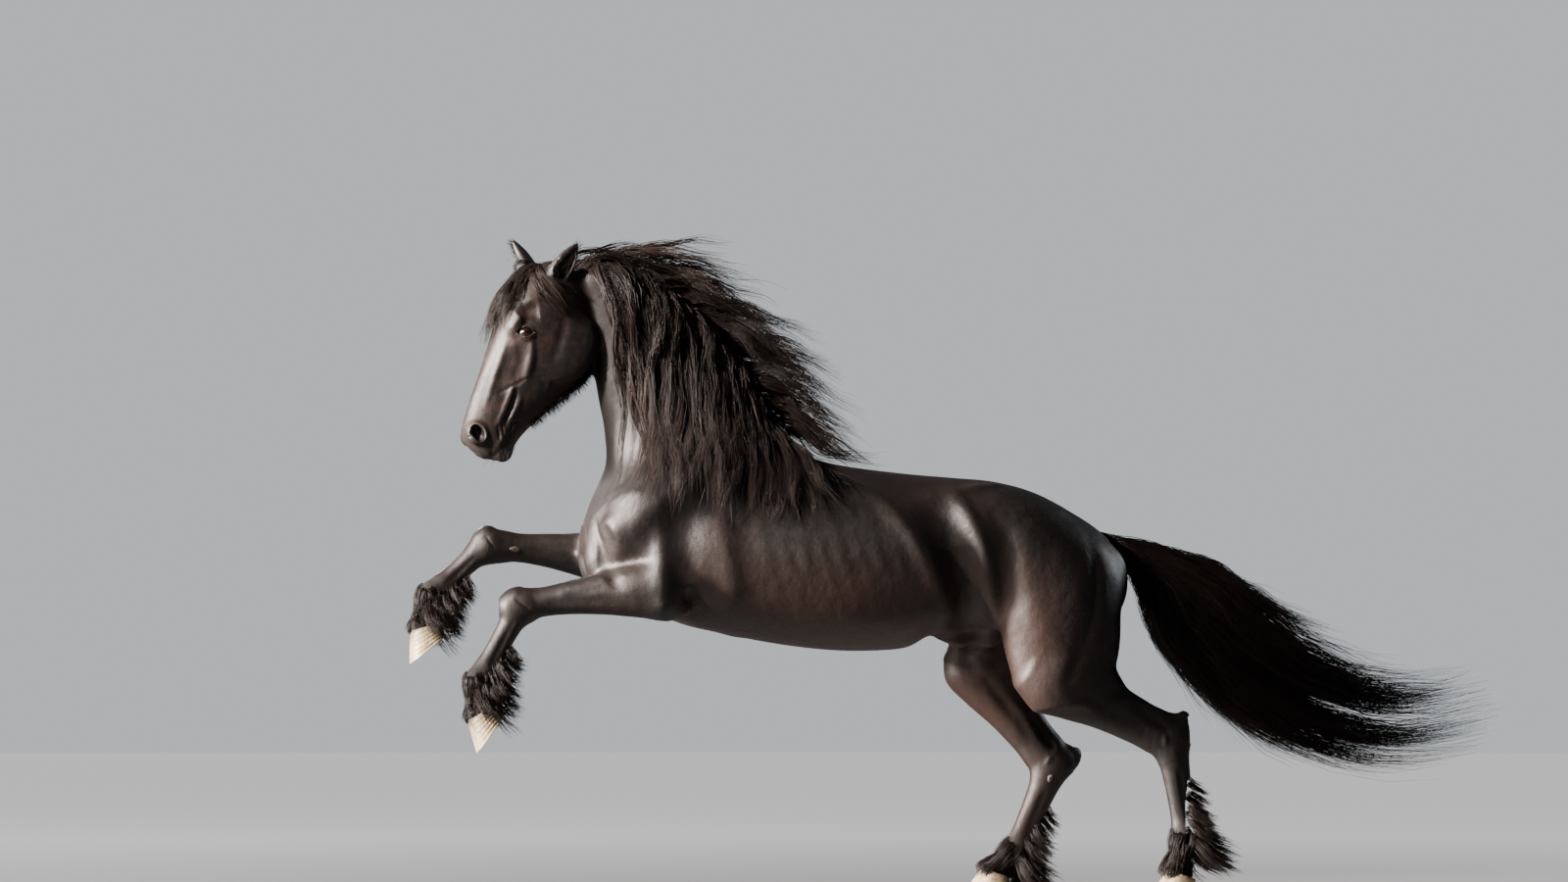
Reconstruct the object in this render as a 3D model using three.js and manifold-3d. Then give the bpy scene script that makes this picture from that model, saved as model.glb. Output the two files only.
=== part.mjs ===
// A Friesian stallion in mid leap, life size, on its hind feet on a flat museum base.
// Millimetres, +Z up. The animal faces -X with its left side towards -Y. The origin is the middle
// of the underside of the base.

import * as THREE from 'three';
import { mergeVertices } from 'three/addons/utils/BufferGeometryUtils.js';
import Module from 'manifold-3d';

const wasm = await Module();
wasm.setup();

// Driving dimensions
const GAP = 0.3;
const BASE = { length: 2000, width: 800, thickness: 50, corner: 110, bevel: 7 };
const FLOOR = BASE.thickness + GAP;
const EYE_RADIUS = 24;
const HOOF = {
  sole: 134, width: 128, toeHeight: 72, toeLean: 52, heelHeight: 42, heelLean: 10, sideLean: 9,
};
const HOOF_SQUARENESS = { toe: 2.1, heel: 3.2 };
const HOOF_TOP = { level: 1.12, drawnIn: 1.6 };
const MANE = { perLayer: 11, layers: 2, flying: 12, longest: 900, width: 66, thickness: 14 };
const TAIL = { rounds: [15, 8], depths: [1, 0.62], width: 68, thickness: 15, core: 800, coreShare: 0.66 };
const FORELOCK = { locks: 8, longest: 260, width: 30, thickness: 9, spread: 84 };
const FEATHER = { rows: 3, longest: 175, width: 58, thickness: 11 };

// Where the mane starts at the withers and ends at the poll, along the neck's axis
const MANE_START = 70;
const MANE_END = 770;

// Soft forms of the head, each with its place along, above and beside the head's axis and half sizes
const JAW = { place: [205, -92, 66], sizes: [112, 92, 34] };
const BROW = { place: [196, 92, 74], sizes: [52, 34, 30] };
const NOSE = { place: [570, 56, 32], sizes: [32, 30, 28] };
const CHIN = { place: [582, -56, 0], sizes: [34, 34, 38] };
const NOSTRIL = { place: [580, 66, 60], sizes: [17, 21, 22] };
const MOUTH = { place: [584, -24, 0], slit: [130, 5, 240], inner: [560, -24, 0], innerSizes: [56, 60, 36] };
const EYE_PLACE = [231, 60, 82];
const LIDS = { length: 30, height: 17, turn: 65, beside: 98, hollow: 7, section: 9, sunk: 4 };

// Colours of the finished animal
const COAT = { color: 0x1a1412, roughness: 0.42, metalness: 0 };
const HAIR = { color: 0x120e0d, roughness: 0.5, metalness: 0 };
const HORN = { color: 0xc9b88e, roughness: 0.6, metalness: 0 };
const EYE = { color: 0x0a0706, roughness: 0.05, metalness: 0 };
const BOARD = { color: 0x8d8f8c, roughness: 0.6, metalness: 0 };

const at = (x, y, z) => new THREE.Vector3(x, y, z);

// Joint places, for the left (near) limbs and the right (far) limbs
const LIMBS = {
  left: {
    side: -1,
    shoulderTop: at(-640, -66, 1392), shoulderPoint: at(-1070, -172, 1175),
    elbow: at(-905, -182, 985), knee: at(-1362, -132, 957), foreFetlock: at(-1489, -122, 728),
    foreCoronet: at(-1484, -120, 604), foreToe: at(-1, 0, -1.39),
    hip: at(300, -138, 1215), stifle: at(335, -190, 690), gaskinTop: at(275, -192, 748),
    hock: at(684, -152, 540), hindFetlock: at(738, -142, 226), hindCoronet: at(700, -140, 112),
  },
  right: {
    side: 1,
    shoulderTop: at(-640, 66, 1392), shoulderPoint: at(-1090, 172, 1190),
    elbow: at(-960, 182, 1070), knee: at(-1440, 142, 1155), foreFetlock: at(-1612, 132, 997),
    foreCoronet: at(-1642, 130, 872), foreToe: at(-1, 0, -0.78),
    hip: at(290, 138, 1215), stifle: at(196, 192, 740), gaskinTop: at(112, 194, 806),
    hock: at(372, 156, 462), hindFetlock: at(246, 146, 178), hindCoronet: at(160, 146, 104),
  },
};

// A solid from a position-only mesh whose shared vertices are merged
function solidOf(geometry) {
  geometry.deleteAttribute('normal');
  geometry.deleteAttribute('uv');
  const merged = mergeVertices(geometry, 1e-4);
  return new wasm.Manifold(new wasm.Mesh({
    numProp: 3,
    vertProperties: new Float32Array(merged.attributes.position.array),
    triVerts: new Uint32Array(merged.index.array),
  }));
}

// A solid from points and the triangles between them, turned outwards if it is inside out
function solidFrom(points, faces) {
  const geometry = new THREE.BufferGeometry();
  geometry.setAttribute('position', new THREE.Float32BufferAttribute(points.flatMap((p) => p.toArray()), 3));
  geometry.setIndex(faces);
  const solid = solidOf(geometry);
  if (solid.volume() > 0) return solid;
  geometry.setIndex(faces.reverse());
  return solidOf(geometry);
}

// A solid from rings of points, each ring closed and joined to the next, with a fan at both ends
function ringsOf(rings) {
  const count = rings[0].length;
  const points = rings.flat();
  const middleOf = (ring) => ring.reduce((sum, p) => sum.add(p), at(0, 0, 0)).divideScalar(count);
  points.push(middleOf(rings[0]), middleOf(rings[rings.length - 1]));
  const faces = [];
  for (let i = 0; i < count; i += 1) {
    const j = (i + 1) % count;
    for (let k = 0; k < rings.length - 1; k += 1) {
      const [a, b] = [k * count + i, k * count + j];
      faces.push(a, b, a + count, b, b + count, a + count);
    }
    const last = (rings.length - 1) * count;
    faces.push(points.length - 2, j, i, points.length - 1, last + i, last + j);
  }
  return solidFrom(points, faces);
}

// A solid ring: a closed loop of sections, each joined to the next
function loopOf(rings) {
  const count = rings[0].length;
  const faces = [];
  rings.forEach((_, k) => {
    const [here, next] = [k * count, ((k + 1) % rings.length) * count];
    for (let i = 0; i < count; i += 1) {
      const j = (i + 1) % count;
      faces.push(here + i, here + j, next + i, here + j, next + j, next + i);
    }
  });
  return solidFrom(rings.flat(), faces);
}

// The value of each column of a table at a place along it, by cubic curves through the rows
function readTable(rows, place) {
  const last = rows.length - 1;
  let i = 0;
  while (i < last - 1 && place > rows[i + 1][0]) i += 1;
  const [a, b] = [rows[i], rows[i + 1]];
  const [before, after] = [rows[Math.max(i - 1, 0)], rows[Math.min(i + 2, last)]];
  const span = b[0] - a[0];
  const u = Math.min(Math.max((place - a[0]) / span, 0), 1);
  return a.map((_, k) => {
    const leave = (span * (b[k] - before[k])) / (b[0] - before[0]);
    const arrive = (span * (after[k] - a[k])) / (after[0] - a[0]);
    const [u2, u3] = [u * u, u * u * u];
    return (2 * u3 - 3 * u2 + 1) * a[k] + (u3 - 2 * u2 + u) * leave
      + (3 * u2 - 2 * u3) * b[k] + (u3 - u2) * arrive;
  });
}

// A stretch of the body: a straight axis with rows of
// [along, low, high, half width, height of the widest place, upper and lower squareness].
// Low and high are measured from the axis along the rise direction, which stands square to it.
class Stretch {
  constructor(from, towards, rise, rows, sides = 14) {
    this.from = from;
    this.axis = towards.clone().sub(from).normalize();
    this.rise = rise.clone().addScaledVector(this.axis, -rise.dot(this.axis)).normalize();
    this.across = this.axis.clone().cross(this.rise);
    this.rows = rows.map((row) => [...row, ...[0.5, 2, 2].slice(row.length - 4)]);
    this.sides = sides;
  }

  // The point at a place along the axis, a height above it and a distance beside it
  point(along, height, beside) {
    return this.from.clone().addScaledVector(this.axis, along)
      .addScaledVector(this.rise, height).addScaledVector(this.across, beside);
  }

  // The point on the upper outline at a place along the axis
  crest(along) {
    return this.point(along, readTable(this.rows, along)[2], 0);
  }

  // One closed cross section, a blend of an ellipse and a box
  section(along, swell) {
    const [, low, high, half, widest, upper, lower] = readTable(this.rows, along);
    const centre = low + widest * (high - low);
    const ring = [];
    for (let i = 0; i < this.sides; i += 1) {
      const angle = (2 * Math.PI * (i + 0.5)) / this.sides;
      const [c, s] = [Math.cos(angle), Math.sin(angle)];
      const power = 2 / (s > 0 ? upper : lower);
      const reach = s > 0 ? high - centre : centre - low;
      const beside = Math.sign(c) * Math.abs(c) ** power * (half + swell);
      const height = centre + Math.sign(s) * Math.abs(s) ** power * (reach + swell);
      ring.push(this.point(along, height, beside));
    }
    return ring;
  }

  // The whole stretch as a solid, its skin moved out by the swell
  solid(swell = 0) {
    const last = this.rows.length - 1;
    return ringsOf(this.rows.map((row, i) => {
      const end = { 0: -swell, [last]: swell }[i] ?? 0;
      return this.section(row[0], swell).map((p) => p.addScaledVector(this.axis, end));
    }));
  }

  // How far a point is outside the skin, along with the numbers that place it on its cross section
  outside(point) {
    const offset = point.clone().sub(this.from);
    const along = offset.dot(this.axis);
    const [first, last] = [this.rows[0][0], this.rows[this.rows.length - 1][0]];
    if (along < first || along > last) return { gap: Infinity };
    const [, low, high, half, widest, upper, lower] = readTable(this.rows, along);
    const centre = low + widest * (high - low);
    const height = offset.dot(this.rise) - centre;
    const beside = offset.dot(this.across);
    const reach = height > 0 ? high - centre : centre - low;
    const power = height > 0 ? upper : lower;
    const sum = Math.abs(height / reach) ** power + Math.abs(beside / half) ** power;
    const size = Math.max(sum ** (1 / power), 1e-3);
    const far = Math.max(Math.hypot(height, beside), 1e-3);
    return { gap: far * (1 - 1 / size), along, centre, height, beside, skin: 1 / size, far };
  }

  // The point moved straight out or in until it lies at the clearance outside the skin
  laidOn(point, clearance) {
    const { along, centre, height, beside, skin, far } = this.outside(point);
    const grown = skin + clearance / far;
    return this.point(along, centre + height * grown, beside * grown);
  }
}

// How far a lying lock is drawn in to the body
const DRAWN_IN = 250;

// A point kept clear of the bodies, and drawn in to the nearest one if it should lie on it
function settled(point, bodies, clearance, lying) {
  const gaps = bodies.map((body) => body.outside(point).gap);
  const gap = Math.min(...gaps);
  const nearest = bodies[gaps.indexOf(gap)];
  let held = point;
  if (gap < clearance || (lying && gap < DRAWN_IN)) held = nearest.laidOn(point, clearance);
  bodies.forEach((body) => {
    if (body.outside(held).gap < clearance) held = body.laidOn(held, clearance);
  });
  return held;
}

const UP = at(0, 0, 1);
const TOWARDS_HEAD = at(-1, 0, 0);
const joinAll = (solids) => solids.reduce((whole, solid) => whole.add(solid));

// The half of space beyond a plane, as a box large enough for the animal
function beyond(point, normal, depth = 3000) {
  const box = new THREE.BoxGeometry(3600, 3600, depth);
  box.translate(0, 0, depth / 2);
  box.applyQuaternion(new THREE.Quaternion().setFromUnitVectors(UP, normal.clone().normalize()));
  box.translate(point.x, point.y, point.z);
  return solidOf(box);
}

// An egg shape with three half sizes in the directions of a stretch
function egg(stretch, along, height, beside, sizes, segments = 12) {
  const ball = new THREE.SphereGeometry(1, segments, Math.max(6, segments / 2));
  const place = new THREE.Matrix4().makeBasis(
    stretch.axis.clone().multiplyScalar(sizes[0]),
    stretch.rise.clone().multiplyScalar(sizes[1]),
    stretch.across.clone().multiplyScalar(sizes[2]),
  );
  place.setPosition(stretch.point(along, height, beside));
  ball.applyMatrix4(place);
  return solidOf(ball);
}

// Trunk, measured from the ground line of the base: places along X and heights in Z
const trunk = new Stretch(at(0, 0, 0), at(1, 0, 0), UP, [
  [-1150, 1130, 1205, 62],
  [-1125, 1062, 1275, 132],
  [-1080, 1005, 1350, 180],
  [-1010, 962, 1412, 214],
  [-890, 912, 1456, 246, 0.42, 1.8, 2.1],
  [-735, 876, 1444, 268, 0.42, 1.6, 2.2],
  [-518, 836, 1440, 288, 0.44, 1.6, 2.2],
  [-330, 818, 1404, 294, 0.46, 1.8, 2.2],
  [-140, 824, 1380, 288, 0.48, 2, 2.2],
  [20, 848, 1367, 276, 0.52, 2.1, 2.1],
  [145, 884, 1356, 266, 0.55, 2.1, 2],
  [270, 892, 1324, 258, 0.55, 2.1, 2],
  [395, 892, 1262, 236],
  [490, 904, 1196, 196],
  [545, 936, 1112, 134],
  [570, 990, 1046, 60],
], 20);

// Neck, along a straight axis from the breast to the poll, with the crest on the high side
const neck = new Stretch(at(-830, 0, 1300), at(-1110, 0, 1900), at(1, 0, 0.4), [
  [-120, -300, 420, 190, 0.42, 1.7, 2.2],
  [0, -338, 372, 182, 0.42, 1.6, 2.2],
  [90, -286, 336, 160, 0.42, 1.6, 2.2],
  [190, -192, 322, 134, 0.44, 1.6, 2.1],
  [290, -148, 312, 112, 0.44, 1.6, 2],
  [390, -122, 290, 98, 0.44, 1.7, 2],
  [480, -98, 262, 90, 0.45, 1.7, 2],
  [570, -75, 224, 84, 0.45, 1.7, 2],
  [670, -60, 170, 76, 0.5, 1.8, 2],
  [750, -50, 104, 62],
  [792, -10, 50, 30],
], 16);

// Head, along a straight axis from the poll to the muzzle, turned a little to the left
const HEAD_TURN = THREE.MathUtils.degToRad(9);
const headward = (forward, height) => at(
  -1130 - forward * Math.cos(HEAD_TURN), -forward * Math.sin(HEAD_TURN), height,
);
const head = new Stretch(headward(85, 1985), headward(340, 1440), headward(1, 0).sub(headward(0, -0.45)), [
  [-28, -45, 62, 36],
  [5, -72, 102, 64, 0.5, 2.2, 2],
  [60, -112, 128, 88, 0.5, 2.4, 2],
  [120, -152, 141, 99, 0.56, 2.6, 1.8],
  [185, -188, 143, 103, 0.62, 2.6, 1.8],
  [262, -202, 136, 96, 0.64, 2.4, 1.9],
  [330, -170, 127, 80, 0.62, 2.3, 2],
  [400, -134, 119, 65, 0.56, 2.2, 2],
  [465, -103, 113, 57, 0.54, 2.1, 2],
  [520, -84, 106, 56, 0.52, 2.1, 2.1],
  [565, -76, 98, 57, 0.52, 2.2, 2.2],
  [597, -66, 82, 50, 0.5, 2.2, 2.2],
  [616, -42, 58, 36],
  [626, -12, 22, 14],
], 16);

// The big muscles of shoulder and upper arm on one side
function shoulderStretches(limb) {
  const blade = new Stretch(limb.shoulderTop, limb.shoulderPoint, at(0.4, 0, 1), [
    [-70, -60, 60, 30],
    [20, -125, 130, 78],
    [150, -160, 160, 112],
    [300, -150, 150, 112],
    [430, -112, 105, 86],
    [515, -56, 52, 42],
  ], 12);
  const armTop = limb.elbow.clone().add(at(225, -limb.side * 66, 330));
  const arm = new Stretch(armTop, limb.elbow, TOWARDS_HEAD, [
    [-80, -60, 70, 30],
    [30, -135, 150, 84],
    [170, -140, 175, 102],
    [290, -105, 170, 96],
    [390, -66, 110, 74],
    [450, -30, 50, 40],
  ], 12);
  return [blade, arm];
}

// Foreleg: the front of the limb is its high side
function foreStretches(limb) {
  const forearm = new Stretch(limb.elbow, limb.knee, at(-0.3, 0, 1), [
    [-70, -50, 70, 50],
    [0, -82, 104, 80],
    [90, -66, 104, 76],
    [200, -50, 88, 62],
    [300, -42, 70, 52],
    [390, -44, 54, 45],
    [450, -60, 54, 49],
    [500, -62, 50, 48],
    [530, -30, 26, 28],
  ], 10);
  const cannonLength = limb.knee.distanceTo(limb.foreFetlock);
  const cannon = new Stretch(limb.knee, limb.foreFetlock, at(-1, 0, 0.6), [
    [-46, -32, 28, 30],
    [-22, -56, 48, 46],
    [25, -54, 48, 46],
    [75, -42, 38, 36],
    [cannonLength - 85, -42, 35, 30],
    [cannonLength - 25, -52, 42, 38],
    [cannonLength + 12, -50, 44, 41],
    [cannonLength + 44, -26, 24, 26],
  ], 8);
  const pastern = pasternStretch(limb.foreFetlock, limb.foreCoronet, at(-1, 0, 0.1));
  return { upper: [forearm], lower: [cannon, pastern] };
}

// Hind leg: thigh and gaskin above, hock, cannon and pastern below
function hindStretches(limb) {
  const thighLength = limb.hip.distanceTo(limb.stifle);
  const thigh = new Stretch(limb.hip, limb.stifle, at(1, 0, 0), [
    [-20, -130, 30, 50],
    [30, -206, 100, 88],
    [100, -222, 166, 116],
    [205, -200, 210, 128],
    [325, -184, 206, 122],
    [425, -168, 190, 106],
    [thighLength - 20, -146, 156, 92],
    [thighLength + 50, -96, 110, 64],
  ], 10);
  const gaskinLength = limb.gaskinTop.distanceTo(limb.hock);
  const gaskin = new Stretch(limb.gaskinTop, limb.hock, at(1, 0, 0.9), [
    [-50, -70, 90, 60],
    [20, -112, 130, 88],
    [110, -104, 112, 80],
    [220, -82, 88, 62],
    [gaskinLength - 105, -70, 76, 50],
    [gaskinLength - 30, -70, 78, 52],
    [gaskinLength + 30, -56, 66, 46],
    [gaskinLength + 62, -28, 36, 26],
  ], 10);
  const cannonLength = limb.hock.distanceTo(limb.hindFetlock);
  const cannon = new Stretch(limb.hock, limb.hindFetlock, at(1, 0, 0), [
    [-80, 20, 60, 20],
    [-56, 0, 78, 30],
    [-20, -48, 78, 48],
    [40, -56, 62, 50],
    [95, -44, 54, 40],
    [cannonLength - 85, -38, 46, 32],
    [cannonLength - 25, -44, 54, 40],
    [cannonLength + 14, -46, 50, 43],
    [cannonLength + 46, -26, 24, 26],
  ], 8);
  const pastern = pasternStretch(limb.hindFetlock, limb.hindCoronet, at(1, 0, 0));
  return { upper: [thigh, gaskin], lower: [cannon, pastern] };
}

// Pastern, from the middle of the fetlock down into the hoof
function pasternStretch(fetlock, coronet, rise) {
  const length = fetlock.distanceTo(coronet);
  return new Stretch(fetlock, coronet, rise, [
    [-30, -26, 26, 28],
    [10, -42, 44, 40],
    [length * 0.5, -40, 40, 37],
    [length - 12, -46, 48, 46],
    [length + 6, -42, 42, 42],
  ], 8);
}

// Hoof: a flat sole with a round toe and an open heel, leaning in to a sloping coronet.
// The sole's middle and the heel-to-toe direction place it; the horn rises against the sole's normal.
function hoofSolid(middle, toeward, upward, swell = 0) {
  const across = upward.clone().cross(toeward).normalize();
  const sides = 14;
  const levels = [0, 1, HOOF_TOP.level];
  const slope = HOOF.toeHeight / Math.tan(THREE.MathUtils.degToRad(HOOF.toeLean));
  const rings = levels.map((level) => {
    const ring = [];
    for (let i = 0; i < sides; i += 1) {
      const angle = (2 * Math.PI * (i + 0.5)) / sides;
      const [c, s] = [Math.cos(angle), Math.sin(angle)];
      const toeShare = (c + 1) / 2;
      const squareness = 2 / (c < 0 ? HOOF_SQUARENESS.heel : HOOF_SQUARENESS.toe);
      const height = level * (HOOF.heelHeight + (HOOF.toeHeight - HOOF.heelHeight) * toeShare);
      const lean = level > 1 ? HOOF_TOP.drawnIn * (level - 1) + 1 : level;
      const front = HOOF.sole / 2 - lean * slope;
      const back = -HOOF.sole / 2 - Math.min(lean, 1) * HOOF.heelLean;
      const [mid, reach] = [(front + back) / 2, (front - back) / 2 + swell];
      const narrow = HOOF.width / 2 - lean * HOOF.sideLean + swell;
      const forward = mid + Math.sign(c) * Math.abs(c) ** squareness * reach;
      const beside = Math.sign(s) * Math.abs(s) ** squareness * narrow;
      const rise = level === 0 ? -swell : height + swell;
      ring.push(middle.clone().addScaledVector(toeward, forward)
        .addScaledVector(upward, rise).addScaledVector(across, beside));
    }
    return ring;
  });
  return ringsOf(rings);
}

// Where each hoof goes: flat on the base behind, hanging from the raised pasterns in front
function hoofPlaces(limb) {
  const hindToe = TOWARDS_HEAD.clone();
  const hindMiddle = at(limb.hindCoronet.x - 12, limb.hindCoronet.y, FLOOR);
  const toe = limb.foreToe.clone().normalize();
  const up = at(toe.z, 0, -toe.x).normalize();
  const foreMiddle = limb.foreCoronet.clone().addScaledVector(up, -50).addScaledVector(toe, 24);
  return {
    hind: [hindMiddle, hindToe, UP],
    fore: [foreMiddle, toe, up],
  };
}

const shoulders = [...shoulderStretches(LIMBS.left), ...shoulderStretches(LIMBS.right)];

// A repeatable sequence of numbers between 0 and 1
function dice(seed) {
  let state = seed;
  return () => {
    state = (state * 1664525 + 1013904223) % 4294967296;
    return state / 4294967296;
  };
}

// A flat lock of hair along a path, widest near its root and tapering to a thin tip
function lockSolid(path, outward, width, thickness) {
  const last = path.length - 1;
  const rings = path.map((point, i) => {
    const ahead = path[Math.min(i + 1, last)].clone().sub(path[Math.max(i - 1, 0)]).normalize();
    const out = outward[i].clone().addScaledVector(ahead, -outward[i].dot(ahead)).normalize();
    const beside = ahead.clone().cross(out);
    const share = i / last;
    const breadth = (width / 2) * Math.max(0.05, (0.75 + 0.5 * share) * (1 - share ** 2.2));
    const depth = (thickness / 2) * Math.max(0.1, 1 - share ** 1.5);
    return [
      point.clone().addScaledVector(beside, breadth),
      point.clone().addScaledVector(out, depth),
      point.clone().addScaledVector(beside, -breadth),
      point.clone().addScaledVector(out, -depth),
    ];
  });
  return ringsOf(rings);
}

// A path that leaves its root in one direction, bends to a pull and stays clear of the body
function drapedPath(root, heading, pull, length, steps, bodies, clearance, lying = false) {
  const path = [root.clone()];
  const outward = [];
  const way = heading.clone().normalize();
  let point = root.clone();
  for (let i = 1; i <= steps; i += 1) {
    way.addScaledVector(pull, 1 / steps).normalize();
    const free = point.clone().addScaledVector(way, length / steps);
    const held = settled(free, bodies, clearance, lying);
    const push = held.clone().sub(free);
    outward.push(push.lengthSq() > 1 ? push.normalize() : at(0, heading.y, 0.3).normalize());
    way.copy(held.clone().sub(point).normalize());
    path.push(held);
    point = held;
  }
  outward.unshift(outward[0].clone());
  return { path, outward };
}

// Mane: layers of locks rooted along the crest from the withers to the poll, which fall over the
// left side and drift back, one thin layer on the right, and locks that fly out behind the crest
function maneLocks() {
  const roll = dice(11);
  const locks = [];
  const grow = (along, side, layer, flying) => {
    const share = (along - MANE_START) / (MANE_END - MANE_START);
    const rootLine = flying ? 22 : side * (36 - 20 * layer);
    const root = neck.crest(along).addScaledVector(neck.rise, -18 - Math.abs(rootLine) / 2);
    root.y += rootLine;
    const heading = neck.rise.clone().multiplyScalar(flying ? 1 : 0.35);
    heading.add(flying ? at(0.15, roll() - 0.6, 0.8 * share ** 2) : at(-0.3, side * 1.1, 0));
    const pull = flying ? at(1.9, 0, -2.8 + share + 0.8 * roll()) : at(0.5 * layer - 0.4, 0, -3.8);
    const longest = MANE.longest * (flying ? 0.36 + 0.12 * roll() : 0.5 + 0.42 * share);
    const length = longest * (0.88 + 0.12 * roll());
    const clearance = 15 + 24 * layer;
    const bodies = [neck, trunk, ...shoulders];
    const steps = flying ? 5 : 6;
    const { path, outward } = drapedPath(root, heading, pull, length, steps, bodies, clearance, !flying);
    outward.forEach((out) => out.set(0.25, side, 0.25));
    locks.push(lockSolid(path, outward, MANE.width, MANE.thickness));
  };
  for (let layer = 0; layer < MANE.layers; layer += 1) {
    for (let i = 0; i < MANE.perLayer; i += 1) {
      const share = (i + 0.25 + layer / MANE.layers) / MANE.perLayer;
      grow(MANE_START + (MANE_END - MANE_START) * share, -1, layer, false);
    }
  }
  for (let i = 0; i < MANE.perLayer / 2; i += 1) {
    grow(MANE_START + ((MANE_END - MANE_START) * (i + 0.5) * 2) / MANE.perLayer, 1, 0, false);
  }
  for (let i = 0; i < MANE.flying; i += 1) {
    grow(MANE_START + ((MANE_END - MANE_START) * (i + 0.8)) / MANE.flying, -1, 0.5, true);
  }
  return joinAll(locks);
}

// Forelock: locks from the poll over the forehead
function forelockLocks() {
  const roll = dice(23);
  const locks = [];
  for (let i = 0; i < FORELOCK.locks; i += 1) {
    const share = (i + 0.5) / FORELOCK.locks;
    const beside = (share - 0.5) * FORELOCK.spread;
    const root = head.point(24, 92, beside * 0.5);
    const heading = head.rise.clone().multiplyScalar(0.55).addScaledVector(head.axis, 0.8);
    heading.addScaledVector(head.across, beside / 70);
    const pull = head.axis.clone().multiplyScalar(2).addScaledVector(head.rise, -2.2);
    const length = FORELOCK.longest * (0.7 + 0.3 * roll());
    const { path, outward } = drapedPath(root, heading, pull, length, 4, [head], 8 + 9 * (i % 2));
    locks.push(lockSolid(path, outward, FORELOCK.width, FORELOCK.thickness));
  }
  return joinAll(locks);
}

// The line that the tail follows, from the dock to the tips
const tailLine = new THREE.CatmullRomCurve3([
  at(470, 0, 1176), at(575, 0, 1150), at(712, 0, 1050), at(885, 0, 874),
  at(1100, 0, 722), at(1350, 0, 640), at(1550, 0, 636), at(1735, 0, 688),
]);

// Half height and half width of the tail at shares of its length
const TAIL_ROWS = [
  [0, 36, 32],
  [0.1, 84, 54],
  [0.25, 158, 90],
  [0.45, 186, 112],
  [0.7, 160, 108],
  [1, 96, 84],
];

// The middle of the tail, its rise direction and its two half sizes at a share of its length
function tailFrame(share) {
  const point = tailLine.getPointAt(Math.min(share, 1));
  const axis = tailLine.getTangentAt(Math.min(share, 1));
  const rise = UP.clone().addScaledVector(axis, -axis.z).normalize();
  const [, high, wide] = readTable(TAIL_ROWS, share);
  return { point, axis, rise, across: axis.clone().cross(rise), high, wide };
}

const CORE_SIDES = 10;
const TAIL_STEPS = 5;

// Tail: a short dense core with locks round it that spread and end at different lengths
function tailSolid() {
  const roll = dice(37);
  const tailLength = tailLine.getLength();
  const coreShare = TAIL.core / tailLength;
  const coreRings = [0, 0.2, 0.4, 0.6, 0.8, 1].map((step) => {
    const frame = tailFrame(step * coreShare);
    const shrink = TAIL.coreShare * (1 - 0.5 * step ** 2);
    const ring = [];
    for (let i = 0; i < CORE_SIDES; i += 1) {
      const angle = (2 * Math.PI * i) / CORE_SIDES;
      ring.push(frame.point.clone()
        .addScaledVector(frame.rise, Math.sin(angle) * Math.max(frame.high * shrink, 30))
        .addScaledVector(frame.across, Math.cos(angle) * Math.max(frame.wide * shrink, 28)));
    }
    return ring;
  });
  const pieces = [ringsOf(coreRings)];
  TAIL.rounds.forEach((count, layer) => {
    for (let i = 0; i < count; i += 1) {
      const angle = (2 * Math.PI * (i + 0.5 * (layer % 2))) / count;
      const start = 0.06 + 0.2 * roll() + 0.06 * layer;
      const end = 0.78 + 0.22 * roll();
      const depth = TAIL.depths[layer];
      const path = [];
      const outward = [];
      for (let k = 0; k <= TAIL_STEPS; k += 1) {
        const step = k / TAIL_STEPS;
        const frame = tailFrame(start + (end - start) * step);
        const spread = depth * (0.3 + 0.7 * Math.min(1, 3 * step));
        path.push(frame.point.clone()
          .addScaledVector(frame.rise, Math.sin(angle) * frame.high * spread)
          .addScaledVector(frame.across, Math.cos(angle) * frame.wide * spread));
        outward.push(frame.rise.clone().multiplyScalar(Math.sin(angle))
          .addScaledVector(frame.across, Math.cos(angle)));
      }
      pieces.push(lockSolid(path, outward, TAIL.width, TAIL.thickness));
    }
  });
  return joinAll(pieces);
}

// Feather: overlapping locks from the sides and back of a cannon and fetlock, which fall round the
// foot; the drift says which way they hang
function featherLocks(cannon, drift, clearOf, seed) {
  const roll = dice(seed);
  const locks = [];
  const end = cannon.rows[cannon.rows.length - 1][0];
  const [firstRow, rowSpan, sideDrop] = [0.42, 0.44, 0.3];
  const back = cannon.rise.clone().multiplyScalar(Math.sign(drift.dot(cannon.rise)));
  for (let row = 0; row < FEATHER.rows; row += 1) {
    for (const column of [-1, 0, 1]) {
      const lower = (row + sideDrop * Math.abs(column)) / (FEATHER.rows - 1);
      const along = end * (firstRow + rowSpan * lower);
      const [, low, high, half] = readTable(cannon.rows, along);
      const reach = (column === 0 ? 0.6 : 0.25) * Math.min(high, -low);
      const root = cannon.point(along, 0, column * half * 0.75).addScaledVector(back, reach);
      const heading = back.clone().multiplyScalar(0.8).addScaledVector(cannon.axis, 1);
      heading.addScaledVector(cannon.across, 0.3 * column);
      const length = FEATHER.longest * (0.8 + 0.2 * roll());
      const { path } = drapedPath(root, heading, drift, length, 4, clearOf, 8 + 5 * row);
      const outward = path.map(() => (column === 0 ? back : cannon.across.clone().multiplyScalar(column)));
      locks.push(lockSolid(path, outward, FEATHER.width, FEATHER.thickness));
    }
  }
  return joinAll(locks);
}

// Only the largest closed surface of a solid
function largest(solid) {
  return solid.decompose().reduce((best, piece) => (piece.volume() > best.volume() ? piece : best));
}

const model = new THREE.Group();

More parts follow.
